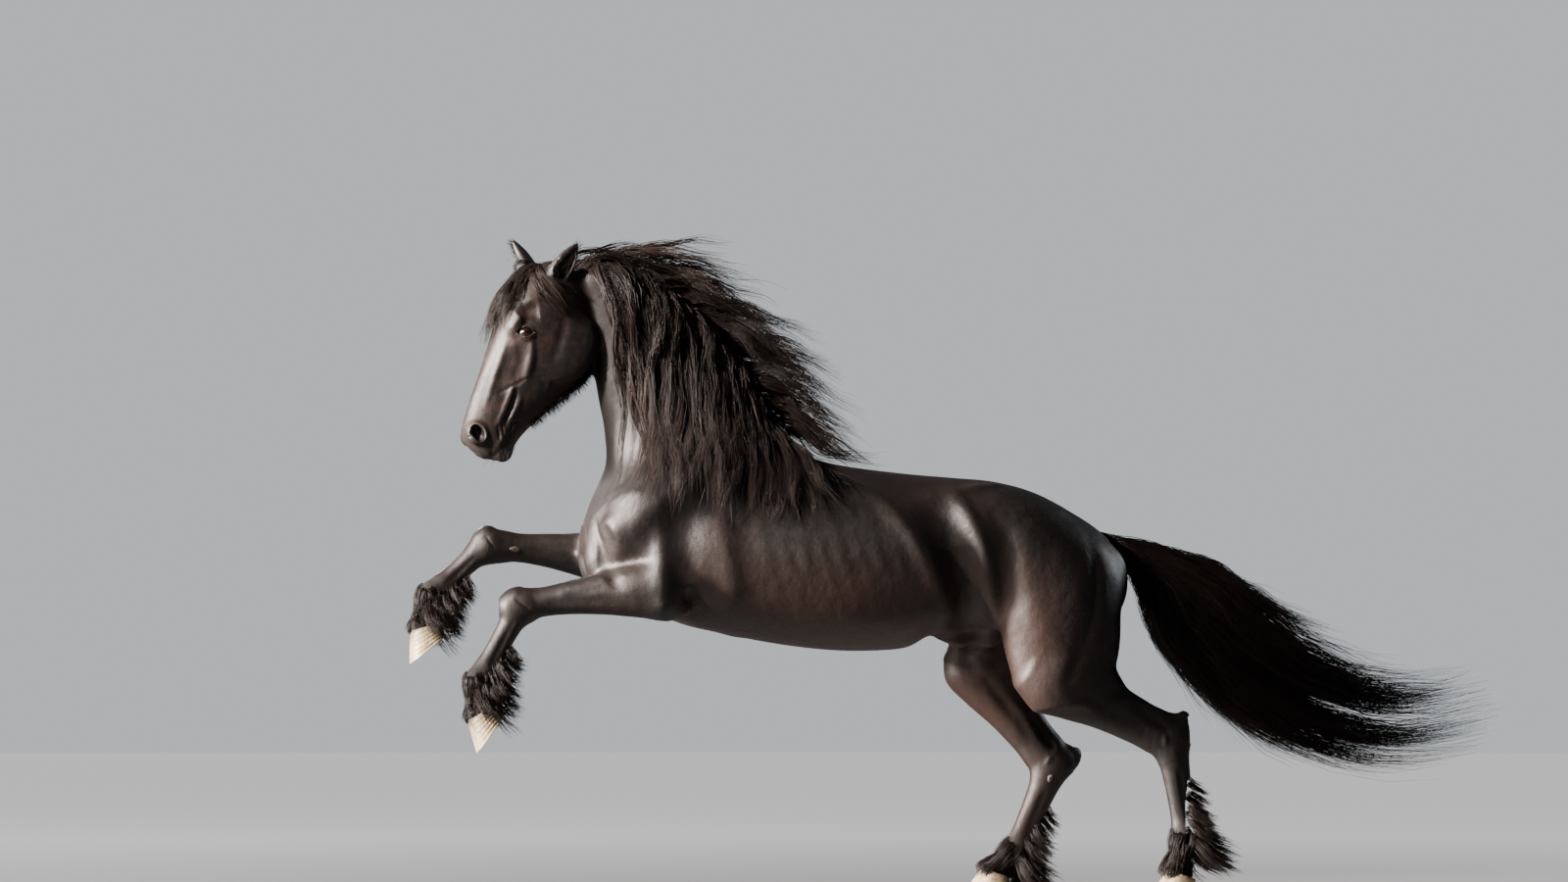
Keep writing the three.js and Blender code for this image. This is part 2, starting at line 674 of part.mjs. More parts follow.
// Adds a solid to the model as a named mesh of its own
function addNode(name, solid, finish) {
  const { vertProperties, triVerts, numProp } = largest(solid).getMesh();
  const geometry = new THREE.BufferGeometry();
  const positions = new Float32Array((vertProperties.length / numProp) * 3);
  for (let i = 0; i < positions.length / 3; i += 1) {
    positions.set(vertProperties.subarray(i * numProp, i * numProp + 3), i * 3);
  }
  geometry.setAttribute('position', new THREE.BufferAttribute(positions, 3));
  geometry.setIndex(new THREE.BufferAttribute(new Uint32Array(triVerts), 1));
  geometry.computeVertexNormals();
  const mesh = new THREE.Mesh(geometry, new THREE.MeshStandardMaterial(finish));
  mesh.name = name;
  model.add(mesh);
}

// Base: a flat board with round corners and a narrow bevel
function baseSolid() {
  const [x, y] = [BASE.length / 2 - BASE.bevel, BASE.width / 2 - BASE.bevel];
  const outline = new THREE.Shape();
  const turn = Math.PI / 2;
  outline.absarc(x - BASE.corner, y - BASE.corner, BASE.corner, 0, turn);
  outline.absarc(BASE.corner - x, y - BASE.corner, BASE.corner, turn, 2 * turn);
  outline.absarc(BASE.corner - x, BASE.corner - y, BASE.corner, 2 * turn, 3 * turn);
  outline.absarc(x - BASE.corner, BASE.corner - y, BASE.corner, 3 * turn, 4 * turn);
  const board = new THREE.ExtrudeGeometry(outline, {
    depth: BASE.thickness - 2 * BASE.bevel,
    bevelThickness: BASE.bevel,
    bevelSize: BASE.bevel,
    bevelSegments: 1,
    curveSegments: 3,
  });
  board.translate(0, 0, BASE.bevel);
  return solidOf(board);
}

// Torso, neck and head are one form, parted by two plane cuts
const legs = Object.fromEntries(Object.entries(LIMBS).map(([name, limb]) => [
  name,
  { fore: foreStretches(limb), hind: hindStretches(limb), hooves: hoofPlaces(limb) },
]));
const NECK_CUT = { point: at(-810, 0, 1386), normal: at(-0.235, 0, 0.972) };
const HEAD_CUT = { point: at(-1142, 0, 1860), normal: at(-1, 0, -0.13) };
const THIGH_CUT = { point: at(270, 0, 866), normal: at(0, 0, -1) };
const KNEE_CUT = 42;
const HOCK_CUT = 62;

const thighs = [legs.left.hind.upper[0], legs.right.hind.upper[0]];
const rootCut = (limb) => ({ point: limb.elbow.clone().add(at(-95, 0, 10)), normal: at(-1, 0, -0.12) });

const aboveNeckCut = beyond(NECK_CUT.point, NECK_CUT.normal);
const belowThighCut = beyond(THIGH_CUT.point, THIGH_CUT.normal);
let torso = joinAll([trunk, neck, ...shoulders].map((stretch) => stretch.solid())).subtract(aboveNeckCut)
  .add(joinAll(thighs.map((stretch) => stretch.solid())).subtract(belowThighCut));
for (const [name, limb] of Object.entries(LIMBS)) {
  const { point, normal } = rootCut(limb);
  torso = torso.add(legs[name].fore.upper[0].solid().subtract(
    beyond(point.clone().addScaledVector(normal, -GAP), normal),
  ));
}
const grownTrunk = joinAll([trunk, ...shoulders].map((stretch) => stretch.solid(GAP)));

// An egg on one side of the head
const headEgg = ({ place: [along, height, beside], sizes }, side, segments) => (
  egg(head, along, height, side * beside, sizes, segments)
);

// Head form with jaw, brow, chin, lips and nostrils
function headForm() {
  let form = head.solid().add(headEgg(CHIN, 1, 8));
  for (const side of [-1, 1]) {
    form = form.add(headEgg(JAW, side, 10)).add(headEgg(BROW, side, 8)).add(headEgg(NOSE, side, 8));
  }
  const slit = new THREE.BoxGeometry(...MOUTH.slit);
  const place = new THREE.Matrix4().makeBasis(head.axis, head.rise, head.across);
  place.setPosition(head.point(...MOUTH.place));
  slit.applyMatrix4(place);
  form = form.subtract(solidOf(slit).subtract(egg(head, ...MOUTH.inner, MOUTH.innerSizes, 8)));
  return form.subtract(headEgg(NOSTRIL, -1, 8)).subtract(headEgg(NOSTRIL, 1, 8));
}

// Lids: an almond ring round each eye, its corners level with each other
function lidRing(side) {
  const turn = THREE.MathUtils.degToRad(LIDS.turn);
  const forward = head.axis.clone().multiplyScalar(Math.cos(turn)).addScaledVector(head.rise, Math.sin(turn));
  const upward = head.axis.clone().multiplyScalar(-Math.sin(turn)).addScaledVector(head.rise, Math.cos(turn));
  const rings = [];
  for (let i = 0; i < 12; i += 1) {
    const angle = (2 * Math.PI * i) / 12;
    const [c, s] = [Math.cos(angle), Math.sin(angle)];
    const beside = side * (LIDS.beside - LIDS.hollow * c * c);
    const centre = head.point(EYE_PLACE[0], EYE_PLACE[1], beside)
      .addScaledVector(forward, c * LIDS.length)
      .addScaledVector(upward, s * LIDS.height);
    const out = forward.clone().multiplyScalar(c).addScaledVector(upward, s);
    const face = head.across.clone().multiplyScalar(side);
    rings.push([0, 1, 2, 3].map((k) => centre.clone()
      .addScaledVector(out, LIDS.section * Math.cos((Math.PI * k) / 2))
      .addScaledVector(face, LIDS.section * Math.sin((Math.PI * k) / 2))));
  }
  return loopOf(rings);
}

const eyePlace = (side) => head.point(EYE_PLACE[0], EYE_PLACE[1], side * EYE_PLACE[2]);

// Eyeball: the outer part of a ball, so that no bit of it is left deep in the head
const eyeBall = (side, swell) => {
  const ball = new THREE.SphereGeometry(EYE_RADIUS + swell, 12, 8);
  ball.translate(...eyePlace(side).toArray());
  const outward = head.across.clone().multiplyScalar(side);
  const back = eyePlace(side).addScaledVector(outward, -LIDS.sunk - swell);
  return solidOf(ball).intersect(beyond(back, outward));
};

// The ear's cup as shares of the shell, and how far it is moved up and out
const CUP = { length: 0.94, start: 12, depth: 0.72, forward: 16, width: 0.78 };

// The outer shape of an ear
function earShell({ base, tip, open }) {
  const length = base.distanceTo(tip);
  return new Stretch(base, tip, open, [
    [-34, -20, 20, 22],
    [0, -24, 24, 27],
    [length * 0.3, -26, 26, 36],
    [length * 0.62, -22, 22, 32],
    [length * 0.88, -11, 11, 15],
    [length, -3, 3, 4],
  ], 12);
}

// Ear: a tapered shell with its cup cut out on the open side
function earSolid(ear) {
  const shell = earShell(ear);
  const cupRows = shell.rows.slice(1).map(([along, low, high, half]) => [
    along * CUP.length + CUP.start,
    low * CUP.depth + CUP.forward,
    high * CUP.depth + CUP.forward,
    half * CUP.width,
  ]);
  const cup = new Stretch(ear.base, ear.tip, ear.open, cupRows, 12);
  return shell.solid().subtract(cup.solid());
}

const EARS = {
  left: {
    base: head.point(50, 42, -56),
    tip: headward(52, 2086).add(at(0, -68, 0)),
    open: at(0.5, -1, 0.1),
  },
  right: {
    base: head.point(44, 60, 52),
    tip: headward(250, 2106).add(at(0, 70, 0)),
    open: at(-1, 0.35, -0.4),
  },
};

let headSolid = joinAll([headForm(), ...[-1, 1].map(lidRing)]);
headSolid = headSolid.add(neck.solid().intersect(beyond(HEAD_CUT.point, HEAD_CUT.normal)));
[-1, 1].forEach((side) => {
  headSolid = headSolid.subtract(eyeBall(side, GAP));
});
const headSide = beyond(HEAD_CUT.point.clone().addScaledVector(HEAD_CUT.normal, GAP), HEAD_CUT.normal);
headSolid = headSolid.intersect(headSide);

const grownJaw = { place: JAW.place, sizes: JAW.sizes.map((size) => size + 1) };
const grownHead = head.solid(GAP).add(joinAll([-1, 1].map((side) => headEgg(grownJaw, side, 10))));
let neckSolid = joinAll([trunk, neck, ...shoulders, head].map((stretch) => stretch.solid())).intersect(
  beyond(NECK_CUT.point.clone().addScaledVector(NECK_CUT.normal, GAP), NECK_CUT.normal),
).subtract(beyond(HEAD_CUT.point, HEAD_CUT.normal));
neckSolid = neckSolid.add(maneLocks().subtract(grownTrunk.subtract(aboveNeckCut))
  .subtract(grownHead).subtract(beyond(HEAD_CUT.point, HEAD_CUT.normal)));
const grownEars = joinAll(Object.values(EARS).map((ear) => earShell(ear).solid(GAP)));
headSolid = headSolid.add(forelockLocks().subtract(grownEars).intersect(headSide));

// Tail, clear of the buttocks
const tail = tailSolid().subtract(joinAll([trunk, ...thighs].map((stretch) => stretch.solid(GAP))));

addNode('torso', torso, COAT);
addNode('neck', neckSolid, COAT);
addNode('head', headSolid, COAT);
addNode('tail', tail, HAIR);
for (const [name, limb] of Object.entries(LIMBS)) {
  addNode(`ear_${name}`, earSolid(EARS[name]).subtract(grownHead), COAT);
  addNode(`eye_${name}`, eyeBall(limb.side, 0), EYE);
}
for (const [name, limb] of Object.entries(LIMBS)) {
  const { fore, hind, hooves } = legs[name];
  const hoofOf = { fore: hoofSolid(...hooves.fore), hind: hoofSolid(...hooves.hind) };
  const grownHoof = { fore: hoofSolid(...hooves.fore, GAP), hind: hoofSolid(...hooves.hind, GAP) };
  const cutFore = rootCut(limb);
  const kneeCut = {
    point: limb.knee.clone().addScaledVector(fore.lower[0].axis, KNEE_CUT),
    normal: fore.lower[0].axis,
  };
  const hockCut = {
    point: limb.hock.clone().addScaledVector(hind.lower[0].axis, HOCK_CUT),
    normal: hind.lower[0].axis,
  };
  const foreWhole = joinAll([...fore.upper, ...fore.lower].map((stretch) => stretch.solid()));
  const foreUpper = foreWhole.subtract(beyond(kneeCut.point, kneeCut.normal))
    .intersect(beyond(cutFore.point, cutFore.normal)).subtract(grownTrunk);
  const foreFeather = featherLocks(fore.lower[0], at(1.6, 0, -0.5), fore.lower, 51 + limb.side);
  const foreLower = foreWhole.intersect(
    beyond(kneeCut.point.clone().addScaledVector(kneeCut.normal, GAP), kneeCut.normal),
  ).add(foreFeather).subtract(grownHoof.fore);
  addNode(`foreleg_${name}_upper`, foreUpper, COAT);
  addNode(`foreleg_${name}_lower`, foreLower, COAT);
  addNode(`foreleg_${name}_hoof`, hoofOf.fore, HORN);
  const hindWhole = joinAll([...hind.upper, ...hind.lower].map((stretch) => stretch.solid()));
  const hindUpper = hindWhole.subtract(beyond(hockCut.point, hockCut.normal)).intersect(
    beyond(THIGH_CUT.point.clone().addScaledVector(THIGH_CUT.normal, GAP), THIGH_CUT.normal),
  ).subtract(grownTrunk);
  const hindFeather = featherLocks(hind.lower[0], at(1.1, 0, -1.8), hind.lower, 71 + limb.side);
  const hindLower = hindWhole.intersect(
    beyond(hockCut.point.clone().addScaledVector(hockCut.normal, GAP), hockCut.normal),
  ).add(hindFeather).subtract(grownHoof.hind).intersect(beyond(at(0, 0, FLOOR), UP));
  addNode(`hindleg_${name}_upper`, hindUpper, COAT);
  addNode(`hindleg_${name}_lower`, hindLower, COAT);
  addNode(`hindleg_${name}_hoof`, hoofOf.hind, HORN);
}
addNode('stand_base', baseSolid(), BOARD);

export default model;
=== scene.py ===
"""A Friesian stallion in mid leap, life size, on its hind feet on a flat museum base.

Metres, +Z up. The animal faces -X with its left side towards -Y. The body tables below are in
millimetres, as a taxidermist would note them, and each shape turns them into metres.
"""

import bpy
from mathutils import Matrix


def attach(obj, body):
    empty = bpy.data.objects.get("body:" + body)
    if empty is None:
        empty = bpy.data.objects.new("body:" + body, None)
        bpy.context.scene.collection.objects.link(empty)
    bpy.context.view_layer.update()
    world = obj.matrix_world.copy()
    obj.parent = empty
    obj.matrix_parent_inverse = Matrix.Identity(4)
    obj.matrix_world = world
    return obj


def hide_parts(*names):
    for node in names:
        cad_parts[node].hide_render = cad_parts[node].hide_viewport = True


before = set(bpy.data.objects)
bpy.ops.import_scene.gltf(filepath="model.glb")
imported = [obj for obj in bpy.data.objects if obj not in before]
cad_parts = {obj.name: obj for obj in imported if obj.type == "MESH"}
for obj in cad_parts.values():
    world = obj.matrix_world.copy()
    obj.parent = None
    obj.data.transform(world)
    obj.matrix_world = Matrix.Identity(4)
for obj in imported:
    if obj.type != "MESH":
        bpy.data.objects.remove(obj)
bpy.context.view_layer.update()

import logging
import math
from collections.abc import Callable, Sequence
from dataclasses import dataclass, field
from enum import Enum

import bpy
import numpy as np
from mathutils import Matrix

logging.basicConfig(level=logging.INFO, format="%(message)s")
LOG = logging.getLogger("friesian")

Array = np.ndarray
Triple = tuple[float, float, float]
Lines = list[tuple[float, float, list[tuple[float, float]]]]
Draw = np.random.Generator
Piece = bpy.types.Object
Material = bpy.types.Material
Group = bpy.types.NodeTree
Socket = bpy.types.NodeSocket

BODY = "root"
UP = np.array((0.0, 0.0, 1.0))

# Sizes in metres: one millimetre, a hair above the board's top, the distance given to places far
# from the body, and how near to a solid its own distances are worked out.
MM = 0.001
FLOOR = 0.0503
FAR_OUT = 0.3
NEAR = 0.09


def unit(vectors: Array) -> Array:
    """Each vector divided by its length."""
    length = np.linalg.norm(vectors, axis=-1, keepdims=True)
    return vectors / np.maximum(length, 1e-12)


def millimetres(*values: float) -> Array:
    """A point given in millimetres, in metres."""
    return np.array(values, float) * MM


def melted(first: Array, second: Array, width: float) -> Array:
    """The union of two bodies whose crease is filled over a width.

    The lower of the two distances, less a quarter of the width where they are equal, falling to
    nothing as the square of how near they are.

    Args:
        first: Distances to the first body.
        second: Distances to the second body.
        width: How close the distances must be for the crease to be filled.

    Returns:
        Distances to the union.
    """
    near = np.maximum(width - np.abs(first - second), 0.0) / width
    return np.minimum(first, second) - near * near * width * 0.25


def carved(body: Array, tool: Array, width: float) -> Array:
    """The body with the tool's shape taken out of it, its rim rounded over a width."""
    return -melted(-body, tool, width)


@dataclass(frozen=True)
class Stretch:
    """A stretch of the body round a straight axis.

    Its table has the columns along, low, high, half width, height of the widest place, upper
    squareness and lower squareness. Low and high are heights along the rise direction.
    """

    start: Array
    axis: Array
    rise: Array
    table: Array
    blend: float

    @classmethod
    def lay(cls, start: Array, towards: Array, rise: Sequence[float], rows: Sequence[Sequence[float]],
            blend: float = 20.0) -> "Stretch":
        """Builds a stretch from its two ends and its rows in millimetres.

        The rows are joined by cubic curves whose slope at a row is that between its neighbours.

        Args:
            start: Where the axis starts, in metres.
            towards: A point that the axis runs to, in metres.
            rise: The direction of the high side, made square to the axis.
            rows: Rows of [along, low, high, half width, (widest, upper, lower)] in millimetres.
            blend: How widely it melts into what it meets, in millimetres.

        Returns:
            The stretch, its table read at many places.
        """
        axis = unit(np.asarray(towards, float) - start)
        side = np.asarray(rise, float)
        side = unit(side - axis * (side @ axis))
        full = np.array([list(row) + [0.5, 2.0, 2.0][len(row) - 4:] for row in rows], float)
        full[:, :4] *= MM
        return cls(start, axis, side, cls._read_curves(full), blend * MM)

    @staticmethod
    def _read_curves(rows: Array, steps: int = 12) -> Array:
        """The table read at several places between each pair of rows, by cubic curves.

        Args:
            rows: Rows of a place and the sizes there.
            steps: How many places between rows.

        Returns:
            More rows, read from the curves.
        """
        last = len(rows) - 1
        before, after = rows[np.maximum(np.arange(last) - 1, 0)], rows[np.minimum(np.arange(last) + 2, last)]
        low, high = rows[:-1], rows[1:]
        span = (high - low)[:, :1]
        leave = span * (high - before) / (high - before)[:, :1]
        arrive = span * (after - low) / (after - low)[:, :1]
        u = (np.arange(steps) / steps)[:, None, None]
        read = ((2 * u**3 - 3 * u**2 + 1) * low + (u**3 - 2 * u**2 + u) * leave
                + (3 * u**2 - 2 * u**3) * high + (u**3 - u**2) * arrive)
        read[..., 0] = (low + u * (high - low))[..., 0]
        return np.vstack([read.transpose(1, 0, 2).reshape(-1, rows.shape[1]), rows[-1:]])

    @property
    def across(self) -> Array:
        """The direction square to the axis and the rise."""
        return np.cross(self.axis, self.rise)

    def point(self, along: float, height: float, beside: float) -> Array:
        """A point in metres from places along, above and beside the axis in millimetres."""
        return self.start + (self.axis * along + self.rise * height + self.across * beside) * MM

    def crest(self, along: Array) -> Array:
        """The points of the high outline at places along the axis, both in metres."""
        high = np.interp(along, self.table[:, 0], self.table[:, 2])
        return self.start + np.outer(along, self.axis) + np.outer(high, self.rise)

    def section(self, along: Array) -> list[Array]:
        """The columns of the table, without the first, at places along the axis."""
        return [np.interp(along, self.table[:, 0], self.table[:, k]) for k in range(1, 7)]

    def gap(self, points: Array) -> Array:
        """How far points are outside the skin, in metres.

        In a cross section it is the distance from the section's middle, less that of the skin in
        the same direction, where the skin is the curve on which the powers of the height and of
        the distance beside, each over its reach, add up to one. Past an end it is the distance to
        the end.

        Args:
            points: Places in metres, as rows of X, Y and Z.

        Returns:
            Distances in metres, below zero inside.
        """
        offset = points - self.start
        along = offset @ self.axis
        low, high, half, widest, upper, lower = self.section(along)
        centre = low + widest * (high - low)
        height = offset @ self.rise - centre
        beside = np.abs(offset @ self.across)
        above = height > 0
        reach = np.maximum(np.where(above, high - centre, centre - low), 1e-5)
        power = np.where(above, upper, lower)
        size = ((np.abs(height) / reach) ** power + (beside / np.maximum(half, 1e-5)) ** power) ** (1 / power)
        far = np.hypot(height, beside)
        side_gap = np.where(size > 1e-4, far - far / np.maximum(size, 1e-4), -np.minimum(reach, half))
        end_gap = np.maximum(self.table[0, 0] - along, along - self.table[-1, 0])
        outside = np.hypot(np.maximum(side_gap, 0), np.maximum(end_gap, 0))
        return outside + np.minimum(np.maximum(side_gap, end_gap), 0)

    def turn(self, points: Array) -> Array:
        """The angle of points round the axis, from the across direction towards the rise."""
        offset = points - self.start
        return np.arctan2(offset @ self.rise, offset @ self.across)

    def box(self, margin: float) -> tuple[Array, Array]:
        """The lowest and highest corners of a box round the stretch, grown by a margin.

        Args:
            margin: How much wider than the solid.

        Returns:
            The two corners.
        """
        line = self.start + np.outer(self.table[:, 0], self.axis)
        reach = np.abs(self.table[:, 1:3]).max(1)[:, None] * np.abs(self.rise)
        reach = reach + self.table[:, 3:4] * np.abs(self.across)
        return (line - reach).min(0) - margin, (line + reach).max(0) + margin


@dataclass(frozen=True)
class Egg:
    """An egg shape with three half sizes along three directions square to each other."""

    centre: Array
    turns: Array
    sizes: Array
    blend: float

    @classmethod
    def on(cls, stretch: Stretch, place: Triple, sizes: Triple, blend: float = 12.0) -> "Egg":
        """An egg in the directions of a stretch, from its place and half sizes in millimetres."""
        turns = np.array([stretch.axis, stretch.rise, stretch.across])
        return cls(stretch.point(*place), turns, np.array(sizes) * MM, blend * MM)

    def gap(self, points: Array) -> Array:
        """How far points are outside, by the first step of Newton's method on the egg's formula.

        Args:
            points: Places in metres, as rows of X, Y and Z.

        Returns:
            Distances in metres, below zero inside.
        """
        local = (points - self.centre) @ self.turns.T / self.sizes
        size = np.linalg.norm(local, axis=-1)
        slope = np.linalg.norm(local / self.sizes, axis=-1)
        return np.where(slope > 1e-6, size * (size - 1) / np.maximum(slope, 1e-6), -self.sizes.min())

    def box(self, margin: float) -> tuple[Array, Array]:
        """The lowest and highest corners of a box round the egg, grown by a margin."""
        reach = np.abs(self.turns * self.sizes[:, None]).sum(0)
        return self.centre - reach - margin, self.centre + reach + margin


Solid = Stretch | Egg


class Side(Enum):
    """The two sides of the animal; the left one is towards -Y."""

    LEFT = -1
    RIGHT = 1


@dataclass(frozen=True)
class Limbs:
    """The joint places of the limbs of one side, in millimetres."""

    side: Side
    shoulder_top: Triple
    shoulder_point: Triple
    elbow: Triple
    knee: Triple
    fore_fetlock: Triple
    fore_coronet: Triple
    fore_toe: Triple
    hip: Triple
    stifle: Triple
    gaskin_top: Triple
    hock: Triple
    hind_fetlock: Triple
    hind_coronet: Triple

    def place(self, name: str) -> Array:
        """A joint's place in metres."""
        return millimetres(*getattr(self, name))

    def shoulder(self) -> list[Stretch]:
        """The shoulder blade with its muscles, and the upper arm.

        Returns:
            The stretches, from the body outwards.
        """
        blade = Stretch.lay(self.place("shoulder_top"), self.place("shoulder_point"), (0.4, 0, 1), [
            [-70, -60, 60, 30], [20, -125, 130, 78], [150, -160, 160, 112],
            [300, -150, 150, 112], [430, -112, 105, 86], [515, -56, 52, 42],
        ], 46)
        top = self.place("elbow") + millimetres(225, -self.side.value * 66, 330)
        arm = Stretch.lay(top, self.place("elbow"), (-1, 0, 0), [
            [-80, -60, 70, 30], [30, -135, 150, 84], [170, -140, 175, 102],
            [290, -105, 170, 96], [390, -66, 110, 74], [450, -30, 50, 40],
        ], 46)
        return [blade, arm]

    def fore(self) -> list[Stretch]:
        """The forearm, the cannon with the knee, and the pastern.

        Returns:
            The stretches, from the body outwards.
        """
        forearm = Stretch.lay(self.place("elbow"), self.place("knee"), (-0.3, 0, 1), [
            [-70, -50, 70, 50], [0, -82, 104, 80], [90, -66, 104, 76],
            [200, -50, 88, 62], [300, -42, 70, 52], [390, -44, 54, 45],
            [450, -60, 54, 49], [500, -62, 50, 48], [530, -30, 26, 28],
        ], 36)
        end = np.linalg.norm(self.place("fore_fetlock") - self.place("knee")) / MM
        cannon = Stretch.lay(self.place("knee"), self.place("fore_fetlock"), (-1, 0, 0.6), [
            [-46, -32, 28, 30], [-22, -56, 48, 46], [25, -54, 48, 46], [75, -42, 38, 36],
            [end - 85, -42, 35, 30], [end - 25, -52, 42, 38], [end + 12, -50, 44, 41],
            [end + 44, -26, 24, 26],
        ], 18)
        return [forearm, cannon, self.pastern("fore_fetlock", "fore_coronet", (-1, 0, 0.1))]

    def hind(self) -> list[Stretch]:
        """The thigh, the gaskin, the cannon with the hock, and the pastern.

        Returns:
            The stretches, from the body outwards.
        """
        length = np.linalg.norm(self.place("stifle") - self.place("hip")) / MM
        thigh = Stretch.lay(self.place("hip"), self.place("stifle"), (1, 0, 0), [
            [-20, -130, 30, 50], [30, -206, 100, 88], [100, -222, 166, 116],
            [205, -200, 210, 128], [325, -184, 206, 122], [425, -168, 190, 106],
            [length - 20, -146, 156, 92], [length + 50, -96, 110, 64],
        ], 60)
        length = np.linalg.norm(self.place("hock") - self.place("gaskin_top")) / MM
        gaskin = Stretch.lay(self.place("gaskin_top"), self.place("hock"), (1, 0, 0.9), [
            [-50, -70, 90, 60], [20, -112, 130, 88], [110, -104, 112, 80],
            [220, -82, 88, 62], [length - 105, -70, 76, 50], [length - 30, -70, 78, 52],
            [length + 30, -56, 66, 46], [length + 62, -28, 36, 26],
        ], 40)
        length = np.linalg.norm(self.place("hind_fetlock") - self.place("hock")) / MM
        cannon = Stretch.lay(self.place("hock"), self.place("hind_fetlock"), (1, 0, 0), [
            [-80, 20, 60, 20], [-56, 0, 78, 30], [-20, -48, 78, 48], [40, -56, 62, 50],
            [95, -44, 54, 40], [length - 85, -38, 46, 32], [length - 25, -44, 54, 40],
            [length + 14, -46, 50, 43], [length + 46, -26, 24, 26],
        ], 18)
        return [thigh, gaskin, cannon, self.pastern("hind_fetlock", "hind_coronet", (1, 0, 0))]

    def pastern(self, fetlock: str, coronet: str, rise: Triple) -> Stretch:
        """The pastern, from the middle of a fetlock down into the hoof.

        Args:
            fetlock: The fetlock's middle.
            coronet: The coronet's middle.
            rise: The way that is up in its sections.

        Returns:
            The stretch.
        """
        length = np.linalg.norm(self.place(coronet) - self.place(fetlock)) / MM
        return Stretch.lay(self.place(fetlock), self.place(coronet), rise, [
            [-30, -26, 26, 28], [10, -42, 44, 40], [length * 0.5, -40, 40, 37],
            [length - 12, -46, 48, 46], [length + 6, -42, 42, 42],
        ], 14)


LIMBS = {
    Side.LEFT: Limbs(
        side=Side.LEFT,
        shoulder_top=(-640, -66, 1392), shoulder_point=(-1070, -172, 1175),
        elbow=(-905, -182, 985), knee=(-1362, -132, 957), fore_fetlock=(-1489, -122, 728),
        fore_coronet=(-1484, -120, 604), fore_toe=(-1, 0, -1.39),
        hip=(300, -138, 1215), stifle=(335, -190, 690), gaskin_top=(275, -192, 748),
        hock=(684, -152, 540), hind_fetlock=(738, -142, 226), hind_coronet=(700, -140, 112),
    ),
    Side.RIGHT: Limbs(
        side=Side.RIGHT,
        shoulder_top=(-640, 66, 1392), shoulder_point=(-1090, 172, 1190),
        elbow=(-960, 182, 1070), knee=(-1440, 142, 1155), fore_fetlock=(-1612, 132, 997),
        fore_coronet=(-1642, 130, 872), fore_toe=(-1, 0, -0.78),
        hip=(290, 138, 1215), stifle=(196, 192, 740), gaskin_top=(112, 194, 806),
        hock=(372, 156, 462), hind_fetlock=(246, 146, 178), hind_coronet=(160, 146, 104),
    ),
}

TRUNK = Stretch.lay(np.zeros(3), (1, 0, 0), (0, 0, 1), [
    [-1150, 1130, 1205, 62], [-1125, 1062, 1275, 132], [-1080, 1005, 1350, 180],
    [-1010, 962, 1412, 214], [-890, 912, 1456, 246, 0.42, 1.8, 2.1],
    [-735, 876, 1444, 268, 0.42, 1.6, 2.2], [-518, 836, 1440, 288, 0.44, 1.6, 2.2],
    [-330, 818, 1404, 294, 0.46, 1.8, 2.2], [-140, 824, 1380, 288, 0.48, 2, 2.2],
    [20, 848, 1367, 276, 0.52, 2.1, 2.1], [145, 884, 1356, 266, 0.55, 2.1, 2],
    [270, 892, 1324, 258, 0.55, 2.1, 2], [395, 892, 1262, 236], [490, 904, 1196, 196],
    [545, 936, 1112, 134], [570, 990, 1046, 60],
], 40)

NECK = Stretch.lay(millimetres(-830, 0, 1300), millimetres(-1110, 0, 1900), (1, 0, 0.4), [
    [-120, -300, 420, 190, 0.42, 1.7, 2.2], [0, -338, 372, 182, 0.42, 1.6, 2.2],
    [90, -286, 336, 160, 0.42, 1.6, 2.2], [190, -192, 322, 134, 0.44, 1.6, 2.1],
    [290, -148, 312, 112, 0.44, 1.6, 2], [390, -122, 290, 98, 0.44, 1.7, 2],
    [480, -98, 262, 90, 0.45, 1.7, 2], [570, -75, 224, 84, 0.45, 1.7, 2],
    [670, -60, 170, 76, 0.5, 1.8, 2], [750, -50, 104, 62], [792, -10, 50, 30],
], 60)

HEAD_TURN = math.radians(9)


def headward(forward: float, height: float) -> Array:
    """A point in the head's upright plane: millimetres forward of the poll, and up."""
    return millimetres(-1130 - forward * math.cos(HEAD_TURN), -forward * math.sin(HEAD_TURN), height)


HEAD = Stretch.lay(headward(85, 1985), headward(340, 1440), headward(1, 0) - headward(0, -0.45), [
    [-28, -45, 62, 36], [5, -72, 102, 64, 0.5, 2.2, 2], [60, -112, 128, 88, 0.5, 2.4, 2],
    [120, -152, 141, 99, 0.56, 2.6, 1.8], [185, -188, 143, 103, 0.62, 2.6, 1.8],
    [262, -202, 136, 96, 0.64, 2.4, 1.9], [330, -170, 127, 80, 0.62, 2.3, 2],
    [400, -134, 119, 65, 0.56, 2.2, 2], [465, -103, 113, 57, 0.54, 2.1, 2],
    [520, -84, 106, 56, 0.52, 2.1, 2.1], [565, -76, 98, 57, 0.52, 2.2, 2.2],
    [597, -66, 82, 50, 0.5, 2.2, 2.2], [616, -42, 58, 36], [626, -12, 22, 14],
], 34)


def nostril_turns() -> tuple[Array, Array]:
    """The long way of a nostril, down and back, and the short way, down and forward."""
    return unit(HEAD.axis * 0.57 - HEAD.rise * 0.81), unit(HEAD.axis * 0.81 + HEAD.rise * 0.57)


def nostril(side: "Side") -> Egg:
    """The hollow of a nostril: a slanting oval, deep into the muzzle."""
    turns = np.array([*nostril_turns(), HEAD.across])
    return Egg(HEAD.point(572, 55, side.value * 60), turns, np.array((29.0, 20.0, 32.0)) * MM, 5 * MM)


